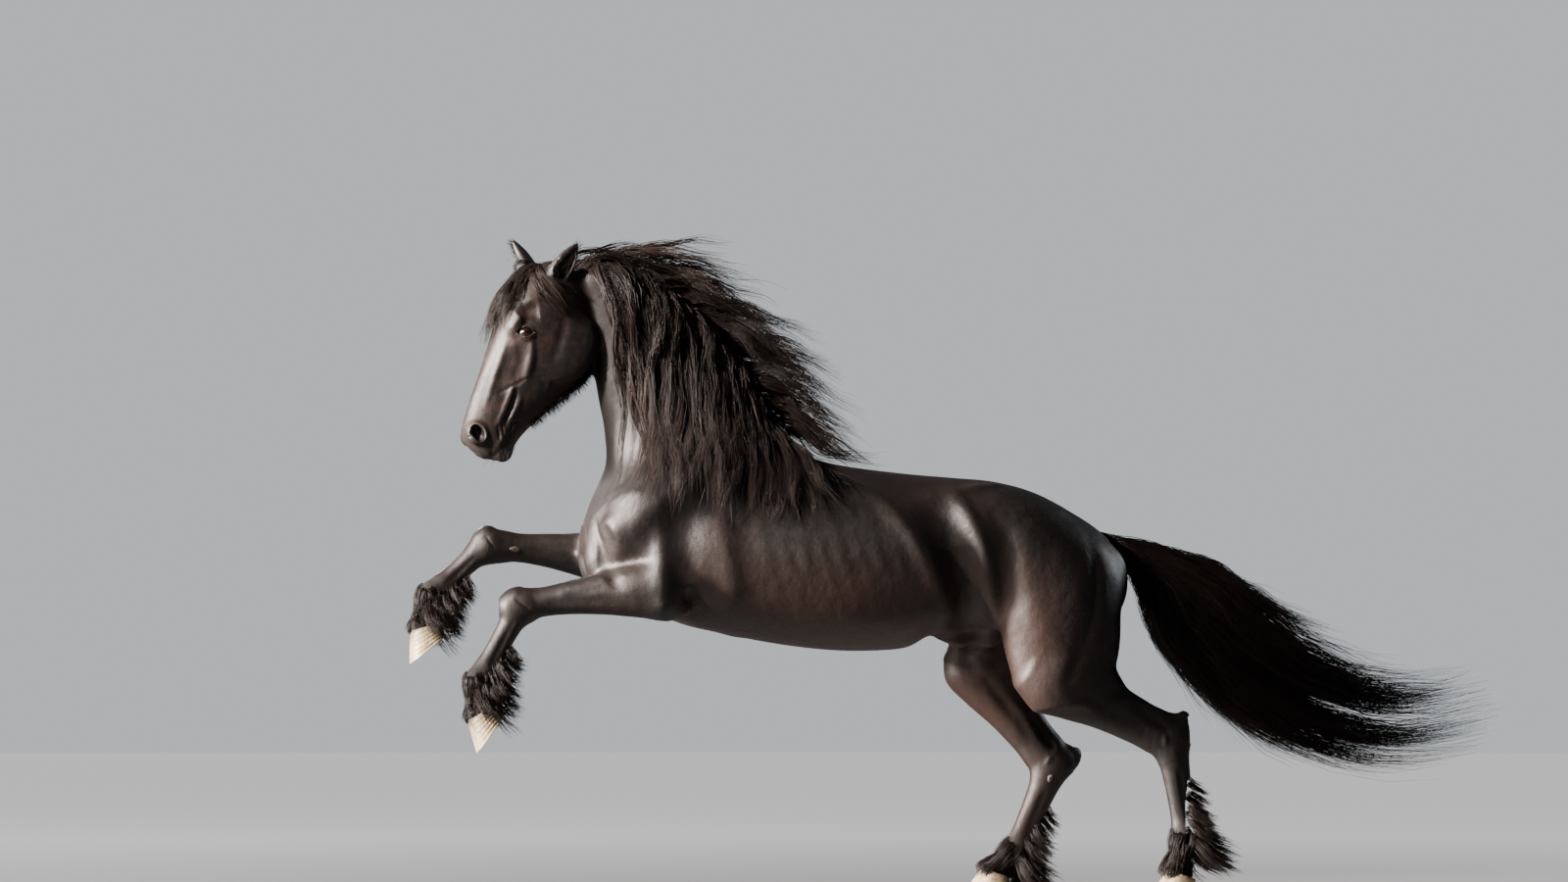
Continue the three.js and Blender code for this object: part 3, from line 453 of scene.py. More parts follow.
@dataclass(frozen=True)
class Ear:
    """An ear: a tapered shell with its cup hollowed out on the open side."""

    base: Array
    tip: Array
    opening: Triple

    def shell(self) -> Stretch:
        """The outer form.

        Returns:
            The stretch.
        """
        length = np.linalg.norm(self.tip - self.base) / MM
        return Stretch.lay(self.base, self.tip, self.opening, [
            [-34, -20, 20, 22], [0, -24, 24, 27], [length * 0.3, -26, 26, 36],
            [length * 0.62, -22, 22, 32], [length * 0.88, -11, 11, 15], [length, -3, 3, 4],
        ], 16)

    def cup(self) -> Stretch:
        """The hollow, moved towards the open side.

        Returns:
            The stretch.
        """
        length = np.linalg.norm(self.tip - self.base) / MM
        return Stretch.lay(self.base, self.tip, self.opening, [
            [16, 0, 30, 12], [length * 0.3, -12, 40, 25], [length * 0.6, -11, 38, 23],
            [length * 0.84, -3, 26, 9], [length * 0.92, 1, 20, 4],
        ], 4)


EARS = {
    Side.LEFT: Ear(HEAD.point(50, 42, -56), headward(52, 2086) + millimetres(0, -68, 0), (0.5, -1, 0.1)),
    Side.RIGHT: Ear(HEAD.point(44, 60, 52), headward(250, 2106) + millimetres(0, 70, 0), (-1, 0.35, -0.4)),
}


@dataclass(frozen=True)
class EyeSeat:
    """Where an eyeball sits, and the almond opening between its lids."""

    side: Side
    place: Triple = (231, 56, 82)
    radius: float = 24.0
    lid: float = 4.2
    length: float = 22.6
    above: float = 15.0
    below: float = 11.0

    @property
    def centre(self) -> Array:
        """The middle of the eyeball."""
        return HEAD.point(self.place[0], self.place[1], self.side.value * self.place[2])

    @property
    def turns(self) -> Array:
        """Three directions: from the front corner to the back one, up over the lid, and outwards.

        Returns:
            The three directions, as rows.
        """
        outward = unit(HEAD.across * self.side.value * 0.95 + HEAD.axis * 0.06 + HEAD.rise * 0.26)
        backward = -HEAD.axis * 0.42 - HEAD.rise * 0.905
        backward = unit(backward - outward * (backward @ outward))
        lift = np.cross(outward, backward)
        return np.array([backward, lift * np.sign(lift @ UP), outward])

    def bulge(self) -> Egg:
        """The round of the closed lids over the eyeball."""
        size = (self.radius + self.lid) * MM
        return Egg(self.centre, self.turns, np.array([size * 1.12, size, size]), 10 * MM)

    def opening(self, points: Array) -> Array:
        """How far points are outside the wedge between the lids.

        Each lid's edge is a parabola between the corners, seen from the eyeball's middle, so the
        wedge gets wider outwards.

        Args:
            points: Places in metres, as rows of X, Y and Z.

        Returns:
            Distances in metres, below zero inside.
        """
        local = (points - self.centre) @ self.turns.T
        depth = np.maximum(local[..., 2], 1e-4)
        scale = self.radius * MM / np.linalg.norm(local, axis=-1).clip(1e-4)
        a, b = local[..., 0] * scale, local[..., 1] * scale
        share = 1 - (a / (self.length * MM)) ** 2
        upper = b - self.above * MM * np.sign(share) * np.abs(share) ** 0.8
        lower = -b - self.below * MM * share
        return np.maximum(np.maximum(upper, lower), 6 * MM - depth)


@dataclass(frozen=True)
class Stroke:
    """A raised or pressed line on the skin, such as a muscle's edge, a vein or a wrinkle."""

    line: Array
    width: float
    height: float
    fades: bool = True

    def swell(self, points: Array) -> Array:
        """The height that it adds at points.

        It is a bell curve of the distance to the line, and fades to nothing at the line's ends as
        a power of the sine of the share of the way along it.

        Args:
            points: Places in metres, as rows of X, Y and Z.

        Returns:
            Heights in metres.
        """
        low = self.line.min(0) - 3 * self.width
        high = self.line.max(0) + 3 * self.width
        near = np.flatnonzero(((points > low) & (points < high)).all(1))
        added = np.zeros(len(points))
        if not len(near):
            return added
        close = points[near]
        best = np.full(len(near), np.inf)
        place = np.zeros(len(near))
        for number, (a, b) in enumerate(zip(self.line[:-1], self.line[1:])):
            span = b - a
            share = np.clip((close - a) @ span / (span @ span), 0, 1)
            distance = np.linalg.norm(close - a - share[:, None] * span, axis=1)
            place = np.where(distance < best, number + share, place)
            best = np.minimum(best, distance)
        fade = np.sin(np.pi * place / (len(self.line) - 1)).clip(0) ** 0.7 if self.fades else 1.0
        added[near] = self.height * fade * np.exp(-((best / self.width) ** 2))
        return added


@dataclass
class Body:
    """The whole animal's flesh as one form, with its muscles, folds, lids, nostrils and lips."""

    coat_depth: float = 3 * MM
    seats: tuple[EyeSeat, ...] = (EyeSeat(Side.LEFT), EyeSeat(Side.RIGHT))

    def __post_init__(self) -> None:
        """Lays out the solids of the middle and of the two sides."""
        self.middle: list[Solid] = [TRUNK, NECK, HEAD, *self.head_forms(), *self.dock(), *self.torso_forms()]
        self.sides: list[list[Solid]] = [
            [*limbs.shoulder(), *limbs.fore(), *limbs.hind(), *self.limb_forms(limbs)]
            for limbs in LIMBS.values()
        ]
        self.cuts: list[tuple[Solid, float]] = [
            *[(ear.cup(), 3 * MM) for ear in EARS.values()], *[(nostril(side), 5 * MM) for side in Side],
        ]
        self.strokes: list[Stroke] = [*self.muscle_lines(), *self.head_lines(), *self.leg_lines()]

    def head_forms(self) -> list[Solid]:
        """Cheeks, brows, nose, lips, chin, ears and the round of the lids.

        Returns:
            The solids.
        """
        forms: list[Solid] = [
            Egg.on(HEAD, (584, -56, 0), (32, 28, 34), 16),
            Egg.on(HEAD, (604, 6, 0), (22, 44, 42), 20),
        ]
        for side in Side:
            s = side.value
            forms += [
                Egg.on(HEAD, (205, -92, s * 66), (112, 92, 34), 26),
                Egg.on(HEAD, (200, 98, s * 70), (52, 26, 26), 22),
                Egg.on(HEAD, (570, 54, s * 34), (34, 34, 26), 16),
                Egg.on(HEAD, (586, 50, s * 50), (26, 30, 17), 12),
                Egg.on(HEAD, (592, -38, s * 26), (26, 18, 22), 12),
            ]
        forms += [seat.bulge() for seat in self.seats]
        forms += [ear.shell() for ear in EARS.values()]
        return forms

    def dock(self) -> list[Solid]:
        """The fleshy root of the tail.

        Returns:
            The solids.
        """
        return [Stretch.lay(millimetres(440, 0, 1176), millimetres(680, 0, 1072), (0, 0, 1), [
            [-20, -40, 34, 44], [60, -42, 36, 42], [140, -34, 32, 34], [230, -20, 20, 20], [262, -6, 6, 6],
        ], 34)]

    def torso_forms(self) -> list[Solid]:
        """The breast muscles, the sheath under the belly and the point of the buttocks.

        Returns:
            The solids.
        """
        forms: list[Solid] = []
        for s in (-1, 1):
            forms.append(Egg.on(TRUNK, (-1068, 1108, s * 74), (92, 112, 74), 30))
            forms.append(Egg.on(TRUNK, (492, 1046, s * 92), (74, 108, 66), 34))
        forms.append(Egg.on(TRUNK, (60, 866, 0), (130, 52, 46), 36))
        return forms

    def limb_forms(self, limbs: Limbs) -> list[Solid]:
        """The points of elbow, knee, hock and fetlock of one side.

        Args:
            limbs: The limbs of one side.

        Returns:
            The solids.
        """
        _, cannon, _ = limbs.fore()
        _, gaskin, shank, _ = limbs.hind()
        forearm = limbs.fore()[0]
        return [
            Egg.on(forearm, (-42, -20, 0), (46, 58, 40), 30),
            Egg.on(forearm, (60, 46, limbs.side.value * 22), (110, 52, 48), 26),
            Egg.on(cannon, (-6, 30, 0), (40, 24, 38), 14),
            Egg.on(cannon, (10, -46, 0), (26, 18, 26), 10),
            Egg.on(shank, (-44, 62, 0), (40, 22, 22), 14),
            Egg.on(gaskin, (120, 70, 0), (130, 52, 62), 30),
        ]

    def gap(self, points: Array) -> Array:
        """How far points are outside the skin, with every form but the strokes.

        Args:
            points: Places in metres, as rows of X, Y and Z.

        Returns:
            Distances in metres, below zero inside.
        """
        def near(solid: Solid) -> tuple[Array, Array]:
            """The rows of the points near a solid, and those points.

            Args:
                solid: The solid.

            Returns:
                The rows and the points.
            """
            low, high = solid.box(NEAR)
            rows = np.flatnonzero(((points > low) & (points < high)).all(1))
            return rows, points[rows]

        skin = self.joined((len(points),), near)
        for seat in self.seats:
            rows = np.flatnonzero(np.linalg.norm(points - seat.centre, axis=1) < 0.06)
            skin[rows] = carved(skin[rows], seat.opening(points[rows]), 1.2 * MM)
        return skin

    def joined(self, shape: Sequence[int], near: Callable[[Solid], tuple]) -> Array:
        """Melts the middle with each side, then the two sides, and takes out the hollows.

        Args:
            shape: The shape of the array of distances.
            near: Gives the part of the array that is near a solid, and the points of that part.

        Returns:
            The distances to the skin, before the lids are opened.
        """
        def melt(total: Array, solids: list[Solid]) -> Array:
            """Melts solids into the distances near them.

            Args:
                total: The distances so far.
                solids: The solids.

            Returns:
                The distances after it.
            """
            for solid in solids:
                part, points = near(solid)
                total[part] = melted(total[part], solid.gap(points), solid.blend)
            return total

        whole = melt(np.full(shape, FAR_OUT), self.middle)
        halves = [melt(whole.copy(), side) for side in self.sides]
        skin = melted(*halves, 8 * MM) + self.coat_depth
        for tool, width in self.cuts:
            part, points = near(tool)
            skin[part] = carved(skin[part], tool.gap(points), width)
        return skin

    def fine_gap(self, points: Array) -> Array:
        """How far points are outside the skin with its muscles, veins and folds.

        Args:
            points: Places in metres, as rows of X, Y and Z.

        Returns:
            Distances in metres, below zero inside.
        """
        distance = self.gap(points)
        for stroke in self.strokes:
            distance -= stroke.swell(points)
        return distance

    def slope(self, points: Array, read: Callable[[Array], Array], step: float = 0.8 * MM) -> Array:
        """The direction in which a distance grows fastest, from differences over small steps.

        Args:
            points: Places in metres, as rows of X, Y and Z.
            read: The distance to follow.
            step: The small step.

        Returns:
            The direction at each point.
        """
        shifts = np.eye(3) * step
        stacked = np.concatenate([points + shift for shift in shifts] + [points - shift for shift in shifts])
        ahead, behind = np.split(read(stacked).reshape(6, -1), 2)
        return ((ahead - behind) / (2 * step)).T

    def settle(self, points: Array, rounds: int, fine: bool, clearance: float = 0.0) -> Array:
        """Moves points onto the skin by Newton's steps along the slope of the distance.

        Args:
            points: Points near the skin.
            rounds: How many steps.
            fine: Whether the strokes count.
            clearance: How far outside the skin the points should end.

        Returns:
            The moved points.
        """
        read = self.fine_gap if fine else self.gap
        for _ in range(rounds):
            slope = self.slope(points, self.gap)
            steep = np.maximum((slope * slope).sum(1), 0.25)
            step = ((read(points) - clearance) / steep)[:, None] * slope
            length = np.linalg.norm(step, axis=1, keepdims=True)
            points = points - step * np.minimum(1, 12 * MM / np.maximum(length, 1e-9))
        return points

    def seen_from_side(self, places: Sequence[tuple[float, float]], side: Side) -> Array:
        """The points of the skin that a line from the side meets first.

        Args:
            places: X and Z in millimetres.
            side: The side that the line comes from.

        Returns:
            The points in metres.
        """
        points = np.array([(x * MM, side.value * 0.42, z * MM) for x, z in places])
        for _ in range(40):
            step = np.clip(self.gap(points) * 0.7, -0.02, 0.04)
            points[:, 1] -= side.value * step
        return points

    def muscle_lines(self) -> list[Stroke]:
        """The ridges and furrows of the trunk's muscles on both sides, from X and Z places.

        The lines of the thigh lean with the stifle of their side.

        Returns:
            The strokes.
        """
        rows: Lines = [
            (28, 12, [(-1140, 1150), (-1140, 1220), (-1090, 1276), (-1010, 1296), (-920, 1280)]),
            (13, -17, [(-1128, 1230), (-1118, 1150), (-1106, 1090), (-1080, 1024), (-1060, 1000)]),
            (30, 9, [(-640, 1420), (-860, 1330), (-1000, 1230), (-1080, 1160)]),
            (46, -12, [(-720, 1330), (-880, 1220), (-980, 1120)]),
            (26, 14, [(-930, 1230), (-946, 1130), (-943, 1008), (-920, 890)]),
            (46, -22, [(-840, 1260), (-862, 1130), (-862, 1000), (-840, 860)]),
            (34, 12, [(-752, 1240), (-742, 1120), (-722, 1009), (-670, 860)]),
            (26, 12, [(-290, 1330), (-234, 1266), (-151, 1160), (-58, 987), (0, 880)]),
            (48, -17, [(-170, 1320), (-60, 1180), (30, 1000), (60, 880)]),
            (20, 7, [(160, 1340), (60, 1326), (-40, 1300)]),
            (26, 14, [(-60, 860), (30, 842), (120, 800), (160, 740)]),
        ]
        thigh: Lines = [
            (22, 20, [(-30, 1340), (17, 1255), (63, 1140), (97, 1000), (122, 917), (144, 823), (200, 690)]),
            (56, -52, [(-80, 1300), (-20, 1140), (24, 1000), (56, 860), (90, 740)]),
            (18, -11, [(390, 1230), (428, 1080), (414, 930), (372, 800), (320, 700)]),
            (50, 9, [(200, 1220), (210, 1000), (260, 800)]),
            (34, -9, [(100, 1260), (150, 1100), (176, 920)]),
        ]
        reference = LIMBS[Side.LEFT].stifle[0]
        lines = []
        for side in Side:
            lean = (LIMBS[side].stifle[0] - reference) / 618
            leant = [(w, h, [(x + lean * (1316 - z), z) for x, z in line]) for w, h, line in thigh]
            for width, height, line in rows + leant:
                lines.append(Stroke(self.seen_from_side(line, side), width * MM, height * MM))
            for number in range(8):
                rib = [(-650 + 58 * number, 1290), (-615 + 58 * number, 1100), (-540 + 58 * number, 920)]
                lines.append(Stroke(self.seen_from_side(rib, side), 14 * MM, 2.4 * MM))
        spine = self.settle(np.array([(x * MM, 0.0, 1.42) for x in range(-560, 420, 70)]), 8, False)
        return [*lines, Stroke(spine, 22 * MM, -6 * MM)]

    def head_lines(self) -> list[Stroke]:
        """The bones, veins, lid folds, lips and nostril rims of the head, from places on it.

        Returns:
            The strokes.
        """
        rows: list[tuple[float, float, float, list[tuple[float, float]]]] = [
            (11, 8, 90, [(240, 30), (290, 12), (330, 0), (376, -14)]),
            (18, -6, 84, [(262, 66), (310, 40), (360, 28), (410, 20)]),
            (14, 6, 92, [(272, 84), (240, 104), (200, 98), (172, 60)]),
            (28, -10, 84, [(196, 100), (168, 80), (150, 52)]),
            (18, 6, 84, [(150, 108), (124, 86), (110, 60)]),
            (24, -7, 70, [(290, 74), (360, 62), (450, 52)]),
            (10, 4, 60, [(270, 104), (380, 96), (500, 82)]),
            (5, -5, 66, [(350, -16), (390, 14), (412, 34), (440, 60)]),
            (8, 7, 62, [(380, 22), (430, 14), (470, 10), (530, 8)]),
            (7, -8, 62, [(396, 2), (440, -8), (480, -14), (520, -20)]),
            (8, 5, 62, [(410, -24), (460, -30), (510, -22)]),
            (4, -3.5, 58, [(520, 10), (548, -12), (568, -26)]),
            (4, -3, 58, [(506, 0), (530, -20), (548, -34)]),
            (3.6, -9, 44, [(634, -26), (604, -38), (566, -42), (530, -43), (496, -40)]),
            (4, -4, 56, [(506, -36), (490, -50), (480, -72)]),
            (9, 4, 50, [(616, -20), (570, -26), (520, -26)]),
            (9, 2, 78, [(350, -6), (336, -50), (352, -84), (390, -116)]),
            (16, -5, 84, [(110, -30), (200, -50), (290, -60)]),
        ]
        lines = []
        for side in Side:
            outward = HEAD.across * side.value
            for width, height, beside, line in rows:
                points = np.array([HEAD.point(a, h, side.value * (beside + 20)) for a, h in line])
                lines.append(Stroke(self.settle(points, 8, False), width * MM, height * MM))
            turn = np.linspace(-3.6, 0.5, 25)[:, None]
            long, short = nostril_turns()
            ring = 36 * np.cos(turn) * long + 26 * np.sin(turn) * short + 10 * outward
            rim = self.settle(nostril(side).centre + ring * MM, 8, False)
            lines.append(Stroke(rim, 7.5 * MM, 4.6 * MM))
            seat = next(seat for seat in self.seats if seat.side is side)
            for rise, depth, width in ((22, -3, 3), (-18, -2.6, 2.8), (-25, -2, 2.8)):
                share = np.linspace(-1.1, 1.1, 9)
                backward, lift, out = seat.turns
                fold = seat.centre + (share[:, None] * seat.length * backward
                                      + (rise * (1.15 - share[:, None] ** 2) * lift) + 30 * out) * MM
                lines.append(Stroke(self.settle(fold, 8, False), width * MM, depth * MM))
        return lines

    def leg_lines(self) -> list[Stroke]:
        """The furrows of tendons, the heel cord's hollow and the knee's bones, on both faces.

        Returns:
            The strokes.
        """
        lines = []
        for limbs in LIMBS.values():
            forearm, cannon, _ = limbs.fore()
            _, gaskin, shank, _ = limbs.hind()
            end, hind_end = cannon.table[-1, 0] / MM, shank.table[-1, 0] / MM
            calf = gaskin.table[-1, 0] / MM
            rows = [
                (cannon, 9, -6, [(60, -6), (140, -8), (end - 90, -8)]),
                (cannon, 8, 4, [(end - 60, 12), (end - 40, 14)]),
                (cannon, 6, -3, [(-6, 34), (2, -34)]),
                (forearm, 16, -6, [(110, -4), (240, -2), (380, -2)]),
                (forearm, 14, -4, [(90, 50), (220, 40), (330, 24)]),
                (shank, 9, -6, [(90, 10), (160, 14), (hind_end - 90, 12)]),
                (gaskin, 15, -11, [(calf - 230, 44), (calf - 150, 40), (calf - 90, 34)]),
                (gaskin, 18, -6, [(60, -10), (180, -12), (calf - 150, -8)]),
                (shank, 8, 4, [(-20, -22), (20, -30)]),
            ]
            for bone, width, height, line in rows:
                for face in (-1, 1):
                    points = np.array([bone.point(a, h, face * 66) for a, h in line])
                    lines.append(Stroke(self.settle(points, 8, False), width * MM, height * MM))
        return lines


def surface_net(axes: Sequence[Array], values: Array) -> tuple[Array, Array]:
    """A mesh of the surface where values on a grid change sign.

    Each cell that the surface crosses gets one vertex, at the mean of the places where its edges
    are crossed, and each crossed edge gets one face between the four cells round it.

    Args:
        axes: The grid's places along X, Y and Z.
        values: Distances at the grid's points, below zero inside.

    Returns:
        The vertices, and the faces as rows of four.
    """
    inside = values < 0
    shape = np.array(values.shape)
    cell_ids, places, quads, flips = [], [], [], []
    for d in range(3):
        e, f = (d + 1) % 3, (d + 2) % 3
        lower = [slice(None)] * 3
        upper = [slice(None)] * 3
        lower[d], upper[d] = slice(0, -1), slice(1, None)
        crossed = np.array(np.nonzero(inside[tuple(lower)] != inside[tuple(upper)])).T
        crossed = crossed[((crossed > 0) & (crossed < shape - 1)).all(1)]
        ahead = crossed.copy()
        ahead[:, d] += 1
        v0, v1 = values[tuple(crossed.T)], values[tuple(ahead.T)]
        share = v0 / (v0 - v1)
        place = np.stack([axes[k][crossed[:, k]] for k in range(3)], 1)
        place[:, d] += share * (axes[d][ahead[:, d]] - axes[d][crossed[:, d]])
        around = []
        for step_e, step_f in ((0, 0), (-1, 0), (-1, -1), (0, -1)):
            cell = crossed.copy()
            cell[:, e] += step_e
            cell[:, f] += step_f
            around.append(np.ravel_multi_index(cell.T, shape))
        cell_ids += around
        places += [place] * 4
        quads.append(np.stack(around, 1))
        flips.append(v0 > 0)
    ids, rows = np.unique(np.concatenate(cell_ids), return_inverse=True)
    everywhere = np.concatenate(places)
    count = np.bincount(rows)
    vertices = np.stack([np.bincount(rows, everywhere[:, k]) / count for k in range(3)], 1)
    faces = np.searchsorted(ids, np.concatenate(quads))
    flip = np.concatenate(flips)
    faces[flip] = faces[flip][:, ::-1]
    return vertices, faces


def relaxed(points: Array, triangles: Array, share: float = 0.5) -> Array:
    """Points moved a share of the way to the mean of their neighbours.

    Args:
        points: Places in metres, as rows of X, Y and Z.
        triangles: Each triangle's three points.
        share: The share of the way.

    Returns:
        The moved points.
    """
    ends = np.concatenate([triangles[:, [0, 1]], triangles[:, [1, 2]], triangles[:, [2, 0]]])
    count = np.bincount(ends[:, 0], minlength=len(points)).clip(1)[:, None]
    sums = [np.bincount(ends[:, 0], points[ends[:, 1], k], len(points)) for k in range(3)]
    mean = np.stack(sums, 1) / count
    return points + share * (mean - points)


def split_long(points: Array, triangles: Array, longest: Callable[[Array], Array]) -> tuple[Array, Array]:
    """Halves every edge longer than a wanted length, and splits the triangles to match.

    A triangle with one, two or three halved edges becomes two, three or four triangles, so that
    no crack is left.

    Args:
        points: The vertices.
        triangles: The faces.
        longest: Gives the longest edge wanted at each of some points.

    Returns:
        The new vertices and faces.
    """
    edges = np.sort(np.stack([triangles, np.roll(triangles, -1, 1)], 2), 2)
    flat, rows = np.unique(edges.reshape(-1, 2), axis=0, return_inverse=True)
    middle = points[flat].mean(1)
    length = np.linalg.norm(points[flat[:, 0]] - points[flat[:, 1]], axis=1)
    halved = length > longest(middle)
    number = np.where(halved, len(points) + np.cumsum(halved) - 1, -1)
    mids = number[rows].reshape(-1, 3)
    cut = mids >= 0
    count = cut.sum(1)
    pieces = [triangles[count == 0]]
    t, m = triangles[count == 3], mids[count == 3]
    pieces += [np.stack([t[:, k], m[:, k], m[:, k - 1]], 1) for k in range(3)] + [m]
    for k in range(3):
        order = [k, (k + 1) % 3, (k + 2) % 3]
        one = (count == 1) & cut[:, k]
        t, m = triangles[one][:, order], mids[one][:, k]
        pieces += [np.stack([t[:, 0], m, t[:, 2]], 1), np.stack([m, t[:, 1], t[:, 2]], 1)]
        two = (count == 2) & ~cut[:, (k + 2) % 3]
        t, m, n = triangles[two][:, order], mids[two][:, k], mids[two][:, (k + 1) % 3]
        thirds = (m, t[:, 1], n), (t[:, 0], m, n), (t[:, 0], n, t[:, 2])
        pieces += [np.stack(corners, 1) for corners in thirds]
    return np.concatenate([points, middle[halved]]), np.concatenate(pieces)


def new_object(name: str, points: Array, faces: Array, smooth: bool = True) -> Piece:
    """Makes an object in metres at the origin from arrays.

    Args:
        name: The piece's name.
        points: The vertices.
        faces: Triangles or quads, as rows of three or four.
        smooth: Whether it is shaded smooth.

    Returns:
        The object, linked to the scene.
    """
    mesh = bpy.data.meshes.new(name)
    faces = np.ascontiguousarray(faces, np.int32)
    mesh.vertices.add(len(points))
    mesh.vertices.foreach_set("co", np.ascontiguousarray(points, np.float32).ravel())
    mesh.loops.add(faces.size)
    mesh.loops.foreach_set("vertex_index", faces.ravel())
    mesh.polygons.add(len(faces))
    mesh.polygons.foreach_set("loop_start", np.arange(0, faces.size, faces.shape[1], dtype=np.int32))
    mesh.update(calc_edges=True)
    mesh.polygons.foreach_set("use_smooth", np.full(len(faces), smooth))
    piece = bpy.data.objects.new(name, mesh)
    bpy.context.scene.collection.objects.link(piece)
    return piece


def set_attribute(piece: Piece, name: str, values: Array) -> None:
    """Stores a number, or three, for each vertex of a piece.

    Args:
        piece: The piece.
        name: The attribute's name.
        values: One number, or three, for each vertex.
    """
    kind, key = ("FLOAT_VECTOR", "vector") if values.ndim == 2 else ("FLOAT", "value")
    layer = piece.data.attributes.new(name, kind, "POINT")
    layer.data.foreach_set(key, np.ascontiguousarray(values, np.float32).ravel())


def set_uv(piece: Piece, name: str, per_corner: Array) -> None:
    """Stores a UV map from one place for each face corner."""
    layer = piece.data.uv_layers.new(name=name)
    layer.data.foreach_set("uv", np.ascontiguousarray(per_corner, np.float32).ravel())


def finish_piece(piece: Piece, material: Material, nodes: Sequence[str] = ()) -> None:
    """Gives a piece its finish, its body and the nodes that it stands for.

    Args:
        piece: The piece.
        material: The finish.
        nodes: The nodes that it replaces.
    """
    piece.data.materials.append(material)
    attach(piece, BODY)
    if nodes:
        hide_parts(*nodes)
    LOG.info("%s: %d triangles", piece.name, len(piece.data.loops) - 2 * len(piece.data.polygons))


